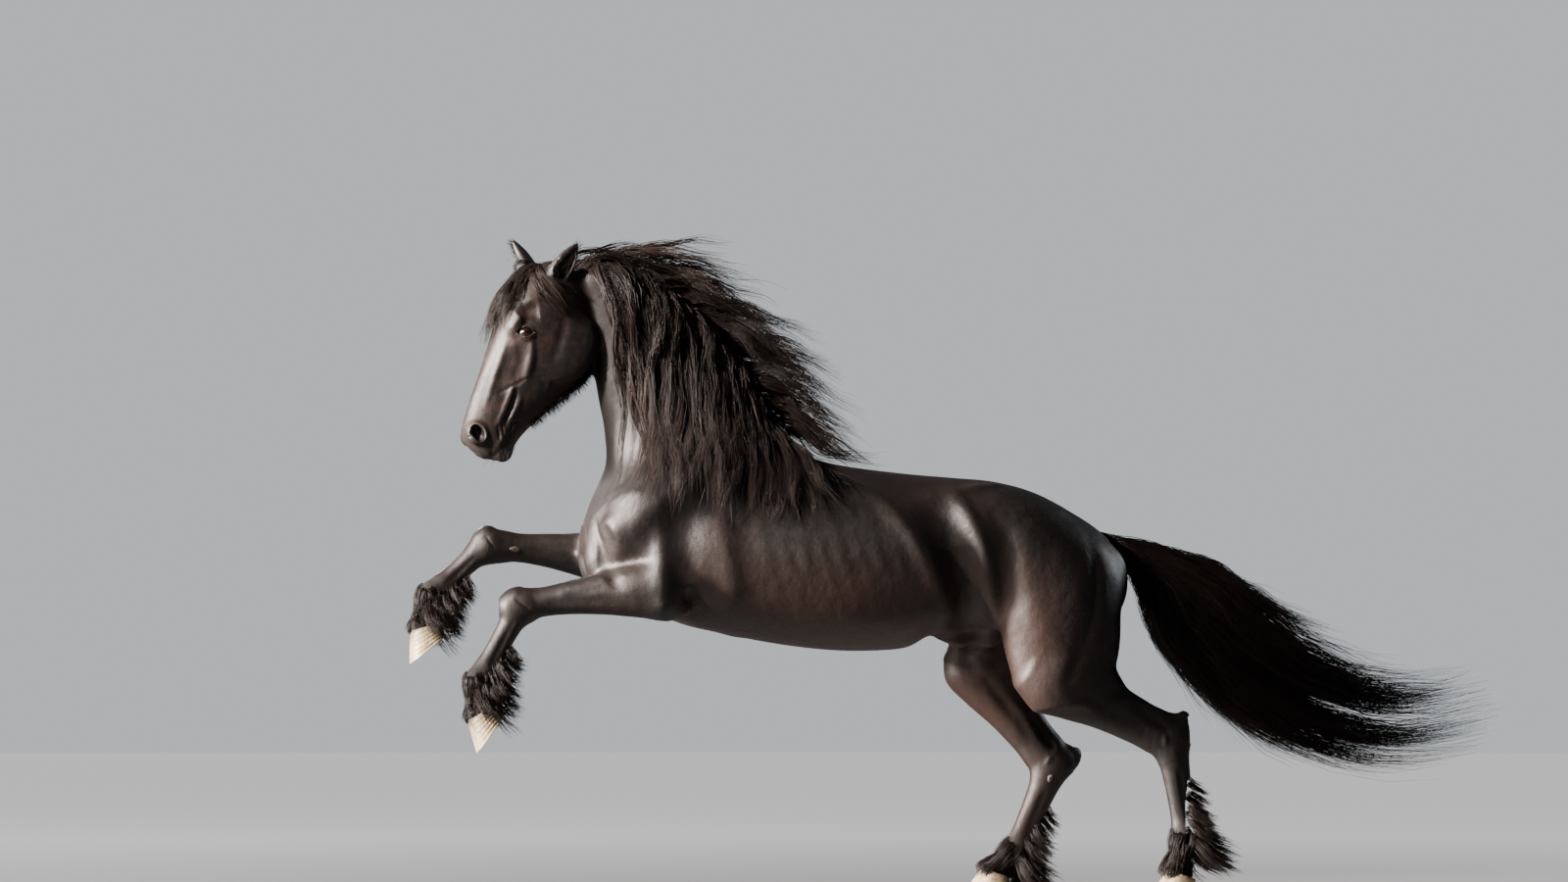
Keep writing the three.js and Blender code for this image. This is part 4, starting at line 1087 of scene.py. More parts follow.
@dataclass
class Skin:
    """The one skin over trunk, neck, head and limbs, closer meshed where it has fine forms."""

    body: Body
    coarse: float = 18 * MM
    ear_step: float = 5.4 * MM
    head_step: float = 9 * MM
    refinings: int = 3
    settlings: int = 2
    easing: float = 0.3

    def axes(self) -> list[Array]:
        """The grid's places, close together across the ears and the head.

        Returns:
            The places along X, Y and Z.
        """
        def steps(*stretches: tuple[float, float, float]) -> Array:
            """Places at even steps through stretches of (start, end, step)."""
            return np.concatenate([np.arange(a, b, step) for a, b, step in stretches])
        c, e, h = self.coarse, self.ear_step, self.head_step
        return [
            steps((-1.78, -1.43, c), (-1.43, -1.12, e), (-1.12, 0.76, c)),
            steps((-0.34, -0.13, c), (-0.13, 0.13, e), (0.13, 0.36, c)),
            steps((0.02, 1.39, c), (1.39, 1.96, h), (1.96, 2.14, e)),
        ]

    def grid(self, axes: Sequence[Array]) -> Array:
        """The body's distances on the grid, worked out only near each solid.

        Args:
            axes: The grid's places along X, Y and Z.

        Returns:
            Distances in metres, below zero inside.
        """
        def near(solid: Solid) -> tuple[tuple[slice, ...], Array]:
            """The block of the grid near a solid, and its points.

            Args:
                solid: The solid.

            Returns:
                The block and its points.
            """
            low, high = solid.box(NEAR)
            block = tuple(slice(*np.searchsorted(axes[k], (low[k], high[k]))) for k in range(3))
            return block, np.stack(np.meshgrid(*[axes[k][block[k]] for k in range(3)], indexing="ij"), -1)

        return self.body.joined([len(axis) for axis in axes], near)

    def wanted(self, points: Array) -> Array:
        """The longest edge wanted at points: short round eyes, nostrils, lips and ears.

        Args:
            points: Places in metres, as rows of X, Y and Z.

        Returns:
            The longest edge at each point.
        """
        size = np.full(len(points), 26 * MM)
        limb = (points[:, 2] < 0.80) | ((points[:, 0] < -1.12) & (points[:, 2] < 1.3))
        size[limb] = 15 * MM
        in_head = HEAD.gap(points) < 0.04
        size[in_head] = 9 * MM
        spots = [(seat.centre, 0.034, 2.0) for seat in self.body.seats]
        spots += [(seat.centre, 0.052, 4.0) for seat in self.body.seats]
        spots += [(HEAD.point(576, 58, side.value * 60), 0.042, 3.0) for side in Side]
        for centre, reach, length in spots:
            close = np.linalg.norm(points - centre, axis=1) < reach
            size[close] = np.minimum(size[close], length * MM)
        for stroke in self.body.strokes:
            if stroke.width < 12 * MM:
                close = np.abs(stroke.swell(points)) > 0.12 * abs(stroke.height)
                size[close] = np.minimum(size[close], max(0.75 * stroke.width, 2 * MM))
        return size

    def build(self) -> Piece:
        """Meshes the body, refines it and settles it on the fine form.

        Returns:
            The piece.
        """
        axes = self.axes()
        points, quads = surface_net(axes, self.grid(axes))
        triangles = np.concatenate([quads[:, [0, 1, 2]], quads[:, [0, 2, 3]]])
        points = self.body.settle(points, 2, False)
        for _ in range(self.refinings):
            points, triangles = split_long(points, triangles, self.wanted)
            points = self.body.settle(relaxed(points, triangles, self.easing), 1, False)
        for _ in range(self.settlings):
            points = self.body.settle(relaxed(points, triangles, self.easing), 1, True)
        points = self.body.settle(points, 2, True)
        piece = new_object("horse_skin", points, triangles)
        self.paint(piece, points)
        return piece

    def paint(self, piece: Piece, points: Array) -> None:
        """Stores where the coat is brown, bare, darker in hollows and under the hair cuff, or runs along the
        neck, head or limbs. The belly's brown, growing towards the underside, is partly the coat's faded
        brown and partly painted warm bounce light from below; the darker hollows and covered pasterns are
        painted shade.

        Args:
            piece: The piece.
            points: Places in metres, as rows of X, Y and Z.
        """
        def near(solids: Sequence[Solid], reach: float) -> Array:
            """One on the solids, falling to nothing over a reach."""
            best = np.min([solid.gap(points) for solid in solids], axis=0)
            return np.clip(1 - best / reach, 0, 1)
        limbs = [solid for limb in LIMBS.values() for solid in (*limb.fore()[1:], *limb.hind()[1:])]
        set_attribute(piece, "limb", near(limbs, 0.08))
        set_attribute(piece, "neck", near([NECK], 0.06))
        set_attribute(piece, "head", near([HEAD], 0.05))
        # Browner towards the underside: partly the coat's own faded brown, partly painted warm light bounced
        # up from below.
        belly = np.clip((1.16 - points[:, 2]) / 0.26, 0, 1) * np.clip((points[:, 0] + 0.95) / 0.3, 0, 1)
        belly *= np.clip((0.42 - points[:, 0]) / 0.25, 0, 1)
        set_attribute(piece, "brown", belly)
        past = (HEAD.start + HEAD.axis * 0.53 - points) @ -HEAD.axis / 0.07
        muzzle = np.clip(past, 0, 1) * near([HEAD], 0.05)
        set_attribute(piece, "bare", muzzle)
        # Painted shade: the nostrils and ear cups are coloured darker inside.
        hollow = np.zeros(len(points))
        for side in Side:
            hollow = np.maximum(hollow, np.clip(-nostril(side).gap(points) / 0.003 + 0.8, 0, 1))
        for ear in EARS.values():
            hollow = np.maximum(hollow, np.clip(-ear.cup().gap(points) / 0.004 + 0.6, 0, 1))
        set_attribute(piece, "hollow", hollow)
        # Painted shade: the pasterns under the cuff of hair are coloured plain black.
        under = [solid for limb in LIMBS.values() for solid in (limb.fore()[2], limb.hind()[3])]
        set_attribute(piece, "feathered", near(under, 0.03))


@dataclass
class Fall:
    """How guide lines leave their roots, bend to a pull and stay clear of the body."""

    body: Body
    steps: int = 14
    lying: float = 0.0

    def lines(self, roots: Array, headings: Array, pulls: Array, lengths: Array, clearances: Array,
              later: Array | float = 0.0) -> Array:
        """Grows one line from each root.

        At each step the heading turns a little towards the pull, the line goes one step that way,
        and a point that comes nearer the skin than its clearance is moved out along the slope of
        the distance. A lying line is also drawn in part of the way.

        Args:
            roots: The first points.
            headings: The first directions.
            pulls: What bends each line; a longer pull bends it sooner.
            lengths: The lines' lengths.
            clearances: How far from the skin each line keeps.
            later: What is added to the pulls, more and more towards the tips.

        Returns:
            The lines, as (line, point, 3).
        """
        way = unit(headings)
        points = [roots]
        for step in range(self.steps):
            way = unit(way + (pulls + later * step / self.steps) / self.steps)
            point = points[-1] + way * (lengths / self.steps)[:, None]
            wanted = clearances * min(1.0, 0.25 + 1.5 * step / self.steps)
            gap = self.body.gap(point)
            move = np.where(gap < wanted, wanted - gap, self.lying * np.clip(wanted - gap, -0.05, 0.0))
            move[gap > 0.12] = 0
            slope = unit(self.body.slope(point, self.body.gap, 4 * MM))
            point = point + slope * move[:, None]
            way = unit(point - points[-1])
            points.append(point)
        return np.stack(points, 1)


def eased(share: Array) -> Array:
    """A share from 0 to 1 that starts and ends gently."""
    share = np.clip(share, 0, 1)
    return share * share * (3 - 2 * share)


def along_lines(lines: Array, shares: Array) -> Array:
    """The points at shares of the length of lines, by straight stretches between their points.

    Args:
        lines: Lines of points, one row of points for each.
        shares: Shares of the length, one row for each line.

    Returns:
        The points.
    """
    place = np.clip(shares, 0, 1) * (lines.shape[1] - 1)
    before = np.minimum(place.astype(int), lines.shape[1] - 2)
    part = (place - before)[..., None]
    row = np.arange(len(lines))[:, None]
    return lines[row, before] * (1 - part) + lines[row, before + 1] * part


class Unwrap:
    """An unwrap of the skin's own shape: a cell for each stretch, along it and round it."""

    CELLS = 5

    def __init__(self) -> None:
        """Lists the stretches that the animal's skin is laid out by."""
        self.charts = [TRUNK, NECK, HEAD, *[ear.shell() for ear in EARS.values()]]
        for limbs in LIMBS.values():
            self.charts += [*limbs.shoulder(), *limbs.fore(), *limbs.hind()]

    def places(self, points: Array) -> Array:
        """The place of each point on the unwrap, by the stretch that it is nearest to.

        Args:
            points: Places in metres, as rows of X, Y and Z.

        Returns:
            The two shares on the picture for each point.
        """
        best = np.full(len(points), np.inf)
        found = np.zeros((len(points), 2))
        for number, chart in enumerate(self.charts):
            gap = chart.gap(points)
            near = gap < best
            first, last = chart.table[0, 0], chart.table[-1, 0]
            along = np.clip(((points - chart.start) @ chart.axis - first) / (last - first), 0, 1)
            turn = chart.turn(points) / (2 * np.pi) + 0.5
            cell = np.array((number % self.CELLS, number // self.CELLS))
            place = (cell + 0.05 + 0.9 * np.stack([turn, along], 1)) / self.CELLS
            found[near] = place[near]
            best[near] = gap[near]
        return found


UNWRAP = Unwrap()
PATCH = 0.003
MOST_TRIANGLES = 190_000


@dataclass(frozen=True)
class Strand:
    """The form of one strand: three sides, widest near its root, with a fine tip."""

    width: float
    thickness: float = 0.5
    tip: float = 0.16

    def triangles_each(self, points: int) -> int:
        """How many triangles a strand of so many points has."""
        return 6 * (points - 1) + 2

    def mesh(self, name: str, lines: Array, outward: Array, widths: Array, tint: Array) -> list[Piece]:
        """Makes joined strands along lines, in pieces that keep under the limit of triangles.

        A strand's section at a share t of its length is a triangle whose width is the strand's
        width times one less the power 2.6 of t, and its flat side lies on the hair below.

        Args:
            name: The piece's name; numbers are added where there are several pieces.
            lines: The strands' middle lines, as (strand, point, 3).
            outward: The direction away from the body, of the same form.
            widths: Each strand's width.
            tint: A number from 0 to 1 for each strand's colour.

        Returns:
            The objects.
        """
        count, points = lines.shape[:2]
        per_piece = MOST_TRIANGLES // self.triangles_each(points)
        parts = max(1, math.ceil(count / per_piece))
        pieces = []
        for number, rows in enumerate(np.array_split(np.arange(count), parts)):
            label = name if parts == 1 else f"{name}_{number + 1}"
            pieces.append(self._one(label, lines[rows], outward[rows], widths[rows], tint[rows]))
        return pieces

    def _one(self, name: str, lines: Array, outward: Array, widths: Array, tint: Array) -> Piece:
        """Makes one piece of joined strands, as the mesh method says.

        Args:
            name: The piece's name.
            lines: Lines of points, one row of points for each.
            outward: The way that each faces.
            widths: Each strand's width at its root.
            tint: Each strand's tint.

        Returns:
            The piece.
        """
        count, points = lines.shape[:2]
        share = np.linspace(0, 1, points)
        tangent = unit(np.gradient(lines, axis=1))
        side = unit(np.cross(tangent, outward))
        out = np.cross(side, tangent)
        profile = np.maximum(self.tip, (0.72 + 0.6 * share) * (1 - share**2.6))
        half = widths[:, None] * profile * 0.5
        corners = np.stack([
            lines + side * half[..., None],
            lines - side * half[..., None],
            lines + out * (2 * self.thickness * half)[..., None],
        ], 2)
        ring = np.arange(points * 3).reshape(points, 3)
        a, b = ring[:-1], ring[1:]
        a_next, b_next = np.roll(a, -1, 1), np.roll(b, -1, 1)
        walls = np.concatenate([
            np.stack([a, a_next, b_next], -1).reshape(-1, 3),
            np.stack([a, b_next, b], -1).reshape(-1, 3),
            ring[:1, ::-1], ring[-1:],
        ])
        faces = (walls[None] + (np.arange(count) * points * 3)[:, None, None]).reshape(-1, 3)
        piece = new_object(name, corners.reshape(-1, 3), faces)
        roots = UNWRAP.places(lines[:, 0])
        patch = np.zeros((count, points, 3, 2))
        patch[..., 0] = roots[:, None, None, 0] + (np.arange(3) - 1) * PATCH * 0.5
        patch[..., 1] = roots[:, None, None, 1] + (share[:, None] - 0.5) * PATCH
        set_uv(piece, "OFBake", patch.reshape(-1, 2)[faces.ravel()])
        set_attribute(piece, "tint", np.repeat(tint, points * 3))
        set_attribute(piece, "tip", np.tile(np.repeat(share, 3), count))
        return piece


@dataclass
class Locks:
    """Wavy strands gathered round guide lines, as long hair hangs in locks."""

    name: str
    body: Body
    guides: Array
    outward: Array
    per_lock: int
    strand: Strand
    wide: float
    deep: float
    points: int = 12
    gather: float = 0.3
    wave: float = 9 * MM
    wave_length: float = 0.14
    stray: float = 10 * MM
    shortest: float = 0.72
    seed: int = 1

    def strands(self) -> tuple[Array, Array, Array, Array]:
        """Works out every strand's line.

        A strand keeps its place across the lock, which narrows towards the tip, and the whole lock
        waves: it is moved sideways by a sine of the length from the root and outwards by the
        cosine, with a phase of its own. A stray strand leaves the lock by the square of its share.

        Returns:
            The lines, the directions away from the body, the widths and the tints.
        """
        draw = np.random.default_rng(self.seed)
        locks = np.repeat(np.arange(len(self.guides)), self.per_lock)
        count = len(locks)
        reach = draw.uniform(self.shortest, 1.0, count)
        share = reach[:, None] * np.linspace(0, 1, self.points)
        guide = self.guides[locks]
        line = along_lines(guide, share)
        out = unit(along_lines(self.outward[locks], share))
        tangent = unit(np.gradient(line, axis=1))
        side = unit(np.cross(tangent, out))
        out = np.cross(side, tangent)
        angle = draw.uniform(0, 2 * np.pi, count)
        radius = np.sqrt(draw.uniform(0, 1, count))
        narrow = 1 - (1 - self.gather) * share**1.3
        across = (np.cos(angle) * radius * self.wide)[:, None] * narrow
        above = (np.sin(angle) * radius * self.deep)[:, None] * narrow
        length = np.linalg.norm(np.diff(self.guides, axis=1), axis=2).sum(1)[locks]
        phase = draw.uniform(0, 2 * np.pi, len(self.guides))[locks] + draw.normal(0, 0.35, count)
        period = self.wave_length * draw.uniform(0.8, 1.25, len(self.guides))[locks]
        turn = 2 * np.pi * share * (length / period)[:, None] + phase[:, None]
        ramp = self.wave * eased(share * 3) * draw.uniform(0.6, 1.2, len(self.guides))[locks][:, None]
        loose = draw.normal(0, self.stray, (count, 2))
        across += ramp * np.sin(turn) + loose[:, :1] * share**2
        above += 0.6 * ramp * np.cos(turn) + np.abs(loose[:, 1:]) * share**2
        line = line + side * across[..., None] + out * above[..., None]
        widths = self.strand.width * draw.uniform(0.7, 1.3, count)
        tint = np.clip(draw.beta(1.4, 3.2, len(self.guides))[locks] + draw.normal(0, 0.12, count), 0, 1)
        return self.lifted(line), out, widths, tint

    def lifted(self, lines: Array) -> Array:
        """Moves what has sunk into the body out to just above the skin, but for the roots.

        Args:
            lines: Lines of points, one row of points for each.

        Returns:
            The moved lines.
        """
        flat = lines[:, 1:].reshape(-1, 3)
        for _ in range(2):
            gap = self.body.gap(flat)
            sunk = np.flatnonzero(gap < 1.5 * MM)
            if len(sunk):
                slope = unit(self.body.slope(flat[sunk], self.body.gap, 2 * MM))
                flat[sunk] += slope * (2.2 * MM - gap[sunk])[:, None]
        lines[:, 1:] = flat.reshape(lines[:, 1:].shape)
        return lines

    def build(self, material: Material, nodes: Sequence[str] = ()) -> None:
        """Makes the pieces and gives them their finish."""
        for piece in self.strand.mesh(self.name, *self.strands()):
            finish_piece(piece, material, nodes)


def crest_line() -> Array:
    """The line that the mane grows on: the neck's crest, and on over the poll between the ears.

    Returns:
        Points from the withers to the poll.
    """
    neck = NECK.crest(np.linspace(60, 700, 17) * MM)
    poll = [millimetres(x, 0, z) for x, z in ((-1085, 2050), (-1160, 2070), (-1215, 2070))]
    return np.concatenate([neck, poll])


@dataclass
class Mane:
    """The mane: locks that fall over the left side, fly back off the crest, or fall on the right."""

    body: Body
    material: Material
    near_locks: int = 230
    under_locks: int = 60
    flying_locks: int = 120
    far_locks: int = 60
    shortest: float = 0.40
    longest: float = 0.98
    seed: int = 11

    def roots(self, count: int, beside: tuple[float, float], draw: Draw,
              last: float = 1.0) -> tuple[Array, Array]:
        """Roots along the crest, and the share of the way from the withers to the poll of each.

        Args:
            count: How many locks.
            beside: The lowest and highest distance to the right of the crest.
            draw: The source of random numbers.
            last: The share where the last root stands.

        Returns:
            The roots and their shares.
        """
        share = last * ((np.arange(count) + draw.uniform(0, 1, count)) / count) ** 0.85
        roots = along_lines(crest_line()[None], share[None])[0]
        roots[:, 1] += draw.uniform(*beside, count) * (1 - 0.35 * share)
        return self.body.settle(roots, 5, False, -6 * MM), share

    def build(self) -> None:
        """Grows the four parts."""
        draw = np.random.default_rng(self.seed)
        self.near("mane_under", self.under_locks, (4, 14), draw,
                  dict(per_lock=12, strand=Strand(9 * MM, 0.25), wide=30 * MM, deep=5 * MM, points=10,
                       stray=6 * MM))
        self.near("mane_near", self.near_locks, (8, 46), draw,
                  dict(per_lock=26, strand=Strand(2.9 * MM), wide=17 * MM, deep=9 * MM, points=10,
                       stray=9 * MM))
        self.flying(draw)
        self.far(draw)

    def near(self, name: str, count: int, clear: tuple[float, float], draw: Draw, form: dict) -> None:
        """The heavy fall over the left side of the neck, back at first, then down and forward.

        Args:
            name: The piece's name.
            count: How many locks.
            clear: The least and most clearance of the locks, in millimetres.
            draw: The source of random numbers.
            form: The locks' own sizes, by name.
        """
        roots, share = self.roots(count, (-46 * MM, 2 * MM), draw, 0.95)
        poll = eased((share - 0.7) / 0.25)
        heading = np.outer(0.4 - 0.2 * poll, NECK.rise) + np.array((0, -0.9, 0))
        heading[:, 0] += 0.25 - 0.3 * poll + (1 - 0.7 * poll) * draw.normal(0, 0.2, count)
        heading[:, 2] += draw.normal(0, 0.1, count)
        back = 0.45 + 0.3 * poll + (1 - 0.7 * poll) * draw.normal(0.25, 0.25, count)
        pull = np.stack([back, draw.normal(0, 0.3, count), np.full(count, -3.2)], 1)
        middle = 4 * share * (1 - share)
        later = -2.4 * middle * (1 - poll) - (1 - 0.8 * poll) * draw.normal(0.1, 0.6, count)
        forward = np.stack([later, np.zeros(count), np.full(count, -1.0)], 1)
        length = (self.shortest + (self.longest - self.shortest) * share) * draw.uniform(0.68, 1.08, count)
        lift = draw.uniform(*clear, count) * MM
        guides = Fall(self.body, 16, lying=0.3).lines(roots, heading, pull, length, lift, forward)
        outward = np.broadcast_to(np.array((0.1, -1.0, 0.25)), guides.shape)
        Locks(name, self.body, guides, outward, wave=15 * MM, wave_length=0.30, seed=self.seed + count,
              **form).build(self.material)

    def flying(self, draw: Draw) -> None:
        """The part that the wind takes back off the crest.

        Args:
            draw: The source of random numbers.
        """
        count = self.flying_locks
        roots, share = self.roots(count, (-26 * MM, 26 * MM), draw)
        heading = NECK.rise + np.stack([
            0.5 + draw.normal(0, 0.2, count), draw.normal(-0.1, 0.35, count), 0.2 + 0.9 * share**2], 1)
        back, aside = draw.uniform(1.2, 3.4, count), draw.normal(0, 0.5, count)
        pull = np.stack([back, aside, -3.0 + 1.2 * share + draw.normal(0, 0.6, count)], 1)
        length = self.longest * draw.uniform(0.27, 0.5, count)
        guides = Fall(self.body).lines(roots, heading, pull, length, draw.uniform(3, 30, count) * MM)
        outward = np.broadcast_to(np.array((0.4, -0.5, 0.7)), guides.shape)
        Locks("mane_flying", self.body, guides, outward, 22, Strand(2.7 * MM), 16 * MM, 12 * MM, 9,
              gather=0.6, wave=10 * MM, wave_length=0.2, stray=24 * MM, shortest=0.5,
              seed=self.seed + 2).build(self.material)

    def far(self, draw: Draw) -> None:
        """The thinner fall over the right side.

        Args:
            draw: The source of random numbers.
        """
        count = self.far_locks
        roots, share = self.roots(count, (4 * MM, 40 * MM), draw)
        heading = NECK.rise * 0.45 + np.array((0.1, 0.9, 0)) + draw.normal(0, 0.12, (count, 3))
        pull = np.stack([draw.normal(0.5, 0.3, count), draw.normal(0, 0.2, count), np.full(count, -3.4)], 1)
        length = self.longest * (0.33 + 0.28 * share) * draw.uniform(0.7, 1.05, count)
        clear = draw.uniform(5, 26, count) * MM
        guides = Fall(self.body, lying=0.3).lines(roots, heading, pull, length, clear)
        outward = np.broadcast_to(np.array((0.1, 1.0, 0.25)), guides.shape)
        Locks("mane_far", self.body, guides, outward, 24, Strand(3.6 * MM), 22 * MM, 9 * MM, 10,
              wave=12 * MM, wave_length=0.26, seed=self.seed + 3).build(self.material)


@dataclass
class Forelock:
    """The forelock: it falls from the poll over the forehead, and in front of the near ear."""

    body: Body
    material: Material
    front_locks: int = 46
    side_locks: int = 11
    longest: float = 0.31
    seed: int = 23

    def build(self) -> None:
        """Grows the locks from between the ears."""
        draw = np.random.default_rng(self.seed)
        count = self.front_locks
        beside = draw.uniform(-1, 1, count)
        roots = np.stack([HEAD.point(a, 100, b * 34) for a, b in zip(draw.uniform(-10, 40, count), beside)])
        apart = np.outer(beside * 0.5 + draw.normal(0, 0.2, count), HEAD.across)
        heading = HEAD.rise * 0.9 + HEAD.axis * 0.7 + apart
        inwards = np.outer(draw.normal(0, 0.5, count) - 0.6 * beside, HEAD.across)
        pull = HEAD.axis * 2.6 - HEAD.rise * 1.0 + inwards
        length = self.longest * draw.uniform(0.55, 1.05, count)
        self.grow("forelock", roots, heading, pull, length, draw.uniform(3, 26, count) * MM)
        count = self.side_locks
        places = zip(draw.uniform(10, 60, count), draw.uniform(14, 44, count))
        roots = np.stack([HEAD.point(a, 92, -b) for a, b in places])
        heading = np.broadcast_to(HEAD.axis * 0.8 - HEAD.across * 0.9, roots.shape)
        heading = heading + draw.normal(0, 0.15, roots.shape)
        pull = HEAD.axis * 0.6 - HEAD.rise * 3.4 + draw.normal(0, 0.4, (count, 3))
        length = self.longest * draw.uniform(0.35, 0.75, count)
        self.grow("forelock_side", roots, heading, pull, length, draw.uniform(3, 8, count) * MM)

    def grow(self, name: str, roots: Array, heading: Array, pull: Array, length: Array, clear: Array) -> None:
        """Grows one group of locks.

        Args:
            name: The piece's name.
            roots: The locks' roots.
            heading: The way that each leaves the skin.
            pull: The way that each is drawn.
            length: Each lock's length.
            clear: How far each stays off the skin.
        """
        roots = self.body.settle(roots, 5, False, -3 * MM)
        guides = Fall(self.body, lying=0.25).lines(roots, heading, pull, length, clear)
        outward = unit(self.body.slope(guides.reshape(-1, 3), self.body.gap, 3 * MM)).reshape(guides.shape)
        Locks(name, self.body, guides, outward, 20, Strand(1.9 * MM), 9 * MM, 6 * MM, 9,
              gather=0.35, wave=6 * MM, wave_length=0.13, stray=7 * MM,
              seed=self.seed + 1).build(self.material)


@dataclass
class Tail:
    """The tail: hair from the dock that streams back in a heavy bundle with loose edges."""

    body: Body
    material: Material
    line: tuple[Triple, ...] = (
        (470, 0, 1176), (575, 0, 1150), (712, 0, 1050), (885, 0, 874),
        (1100, 0, 722), (1350, 0, 634), (1570, 0, 630), (1810, 0, 690),
    )
    rows: tuple[Triple, ...] = (
        (0, 36, 32), (0.1, 84, 54), (0.25, 158, 90), (0.45, 186, 112),
        (0.7, 165, 108), (0.88, 122, 96), (1, 118, 90),
    )
    locks: int = 200
    seed: int = 37

    def middle(self, shares: Array) -> tuple[Array, Array, Array, Array]:
        """The tail's middle line, its tangent, and its half height and half width at shares.

        The line is a smooth curve through its points: each is a weighted mean with cubic weights.

        Args:
            shares: Shares of the length.

        Returns:
            The four, for each share.
        """
        points = np.array(self.line) * MM
        chord = np.concatenate([[0], np.cumsum(np.sqrt(np.linalg.norm(np.diff(points, axis=0), axis=1)))])
        slope = np.gradient(points, chord, axis=0)
        fine = np.linspace(0, chord[-1], 400)
        k = np.clip(np.searchsorted(chord, fine, side="right") - 1, 0, len(chord) - 2)
        span = (chord[k + 1] - chord[k])[:, None]
        u = ((fine - chord[k])[:, None]) / span
        curve = ((2 * u**3 - 3 * u**2 + 1) * points[k] + (u**3 - 2 * u**2 + u) * span * slope[k]
                 + (3 * u**2 - 2 * u**3) * points[k + 1] + (u**3 - u**2) * span * slope[k + 1])
        run = np.concatenate([[0], np.cumsum(np.linalg.norm(np.diff(curve, axis=0), axis=1))])
        run /= run[-1]
        place = np.stack([np.interp(shares, run, curve[:, i]) for i in range(3)], -1)
        tangent = unit(np.stack([np.interp(shares, run, np.gradient(curve[:, i])) for i in range(3)], -1))
        rows = np.array(self.rows)
        high, wide = (np.interp(shares, rows[:, 0], rows[:, k]) * MM for k in (1, 2))
        return place, tangent, high, wide

    def build(self) -> None:
        """Lays guide lines in the bundle, each at its own angle and depth, and grows the hair.

        A guide starts on the dock and moves outwards in the bundle's section as it goes, to a depth
        of its own. The outer ones end sooner and leave the bundle's edge at a slant.
        """
        draw = np.random.default_rng(self.seed)
        count, steps = self.locks, 18
        start = draw.uniform(0.0, 0.17, count) * draw.uniform(0.3, 1.0, count)
        depth = np.sqrt(draw.uniform(0.02, 1, count))
        length = draw.uniform(0.45, 0.98, count) * np.where(depth > 0.75, draw.uniform(0.5, 1, count), 1)
        end = np.minimum(start + length, 0.985)
        angle = draw.uniform(0, 2 * np.pi, count)
        t = np.linspace(0, 1, steps)
        share = start[:, None] + (end - start)[:, None] * t
        place, tangent, high, wide = self.middle(share)
        across = unit(np.cross(tangent, UP))
        rise = np.cross(across, tangent)
        grow = eased(0.12 + 1.25 * (share - start[:, None]) / 0.32) * depth[:, None]
        flare = 1 + 0.22 * (t**3) * draw.uniform(-0.4, 1.3, count)[:, None]
        vertical = np.sin(angle)[:, None] * np.maximum(high * grow * flare, 14 * MM)
        lateral = np.cos(angle)[:, None] * np.maximum(wide * grow * flare, 12 * MM)
        droop = -0.06 * t**2 * np.clip(-np.sin(angle), 0, 1)[:, None] * draw.uniform(0, 1, count)[:, None]
        guides = place + rise * vertical[..., None] + across * lateral[..., None] + UP * droop[..., None]
        outward = rise * np.sin(angle)[:, None, None] + across * np.cos(angle)[:, None, None]
        Locks("tail", self.body, guides, outward, 28, Strand(3.2 * MM), 18 * MM, 14 * MM, 10,
              gather=0.55, wave=11 * MM, wave_length=0.22, stray=22 * MM, shortest=0.6,
              seed=self.seed + 1).build(self.material, ("tail",))


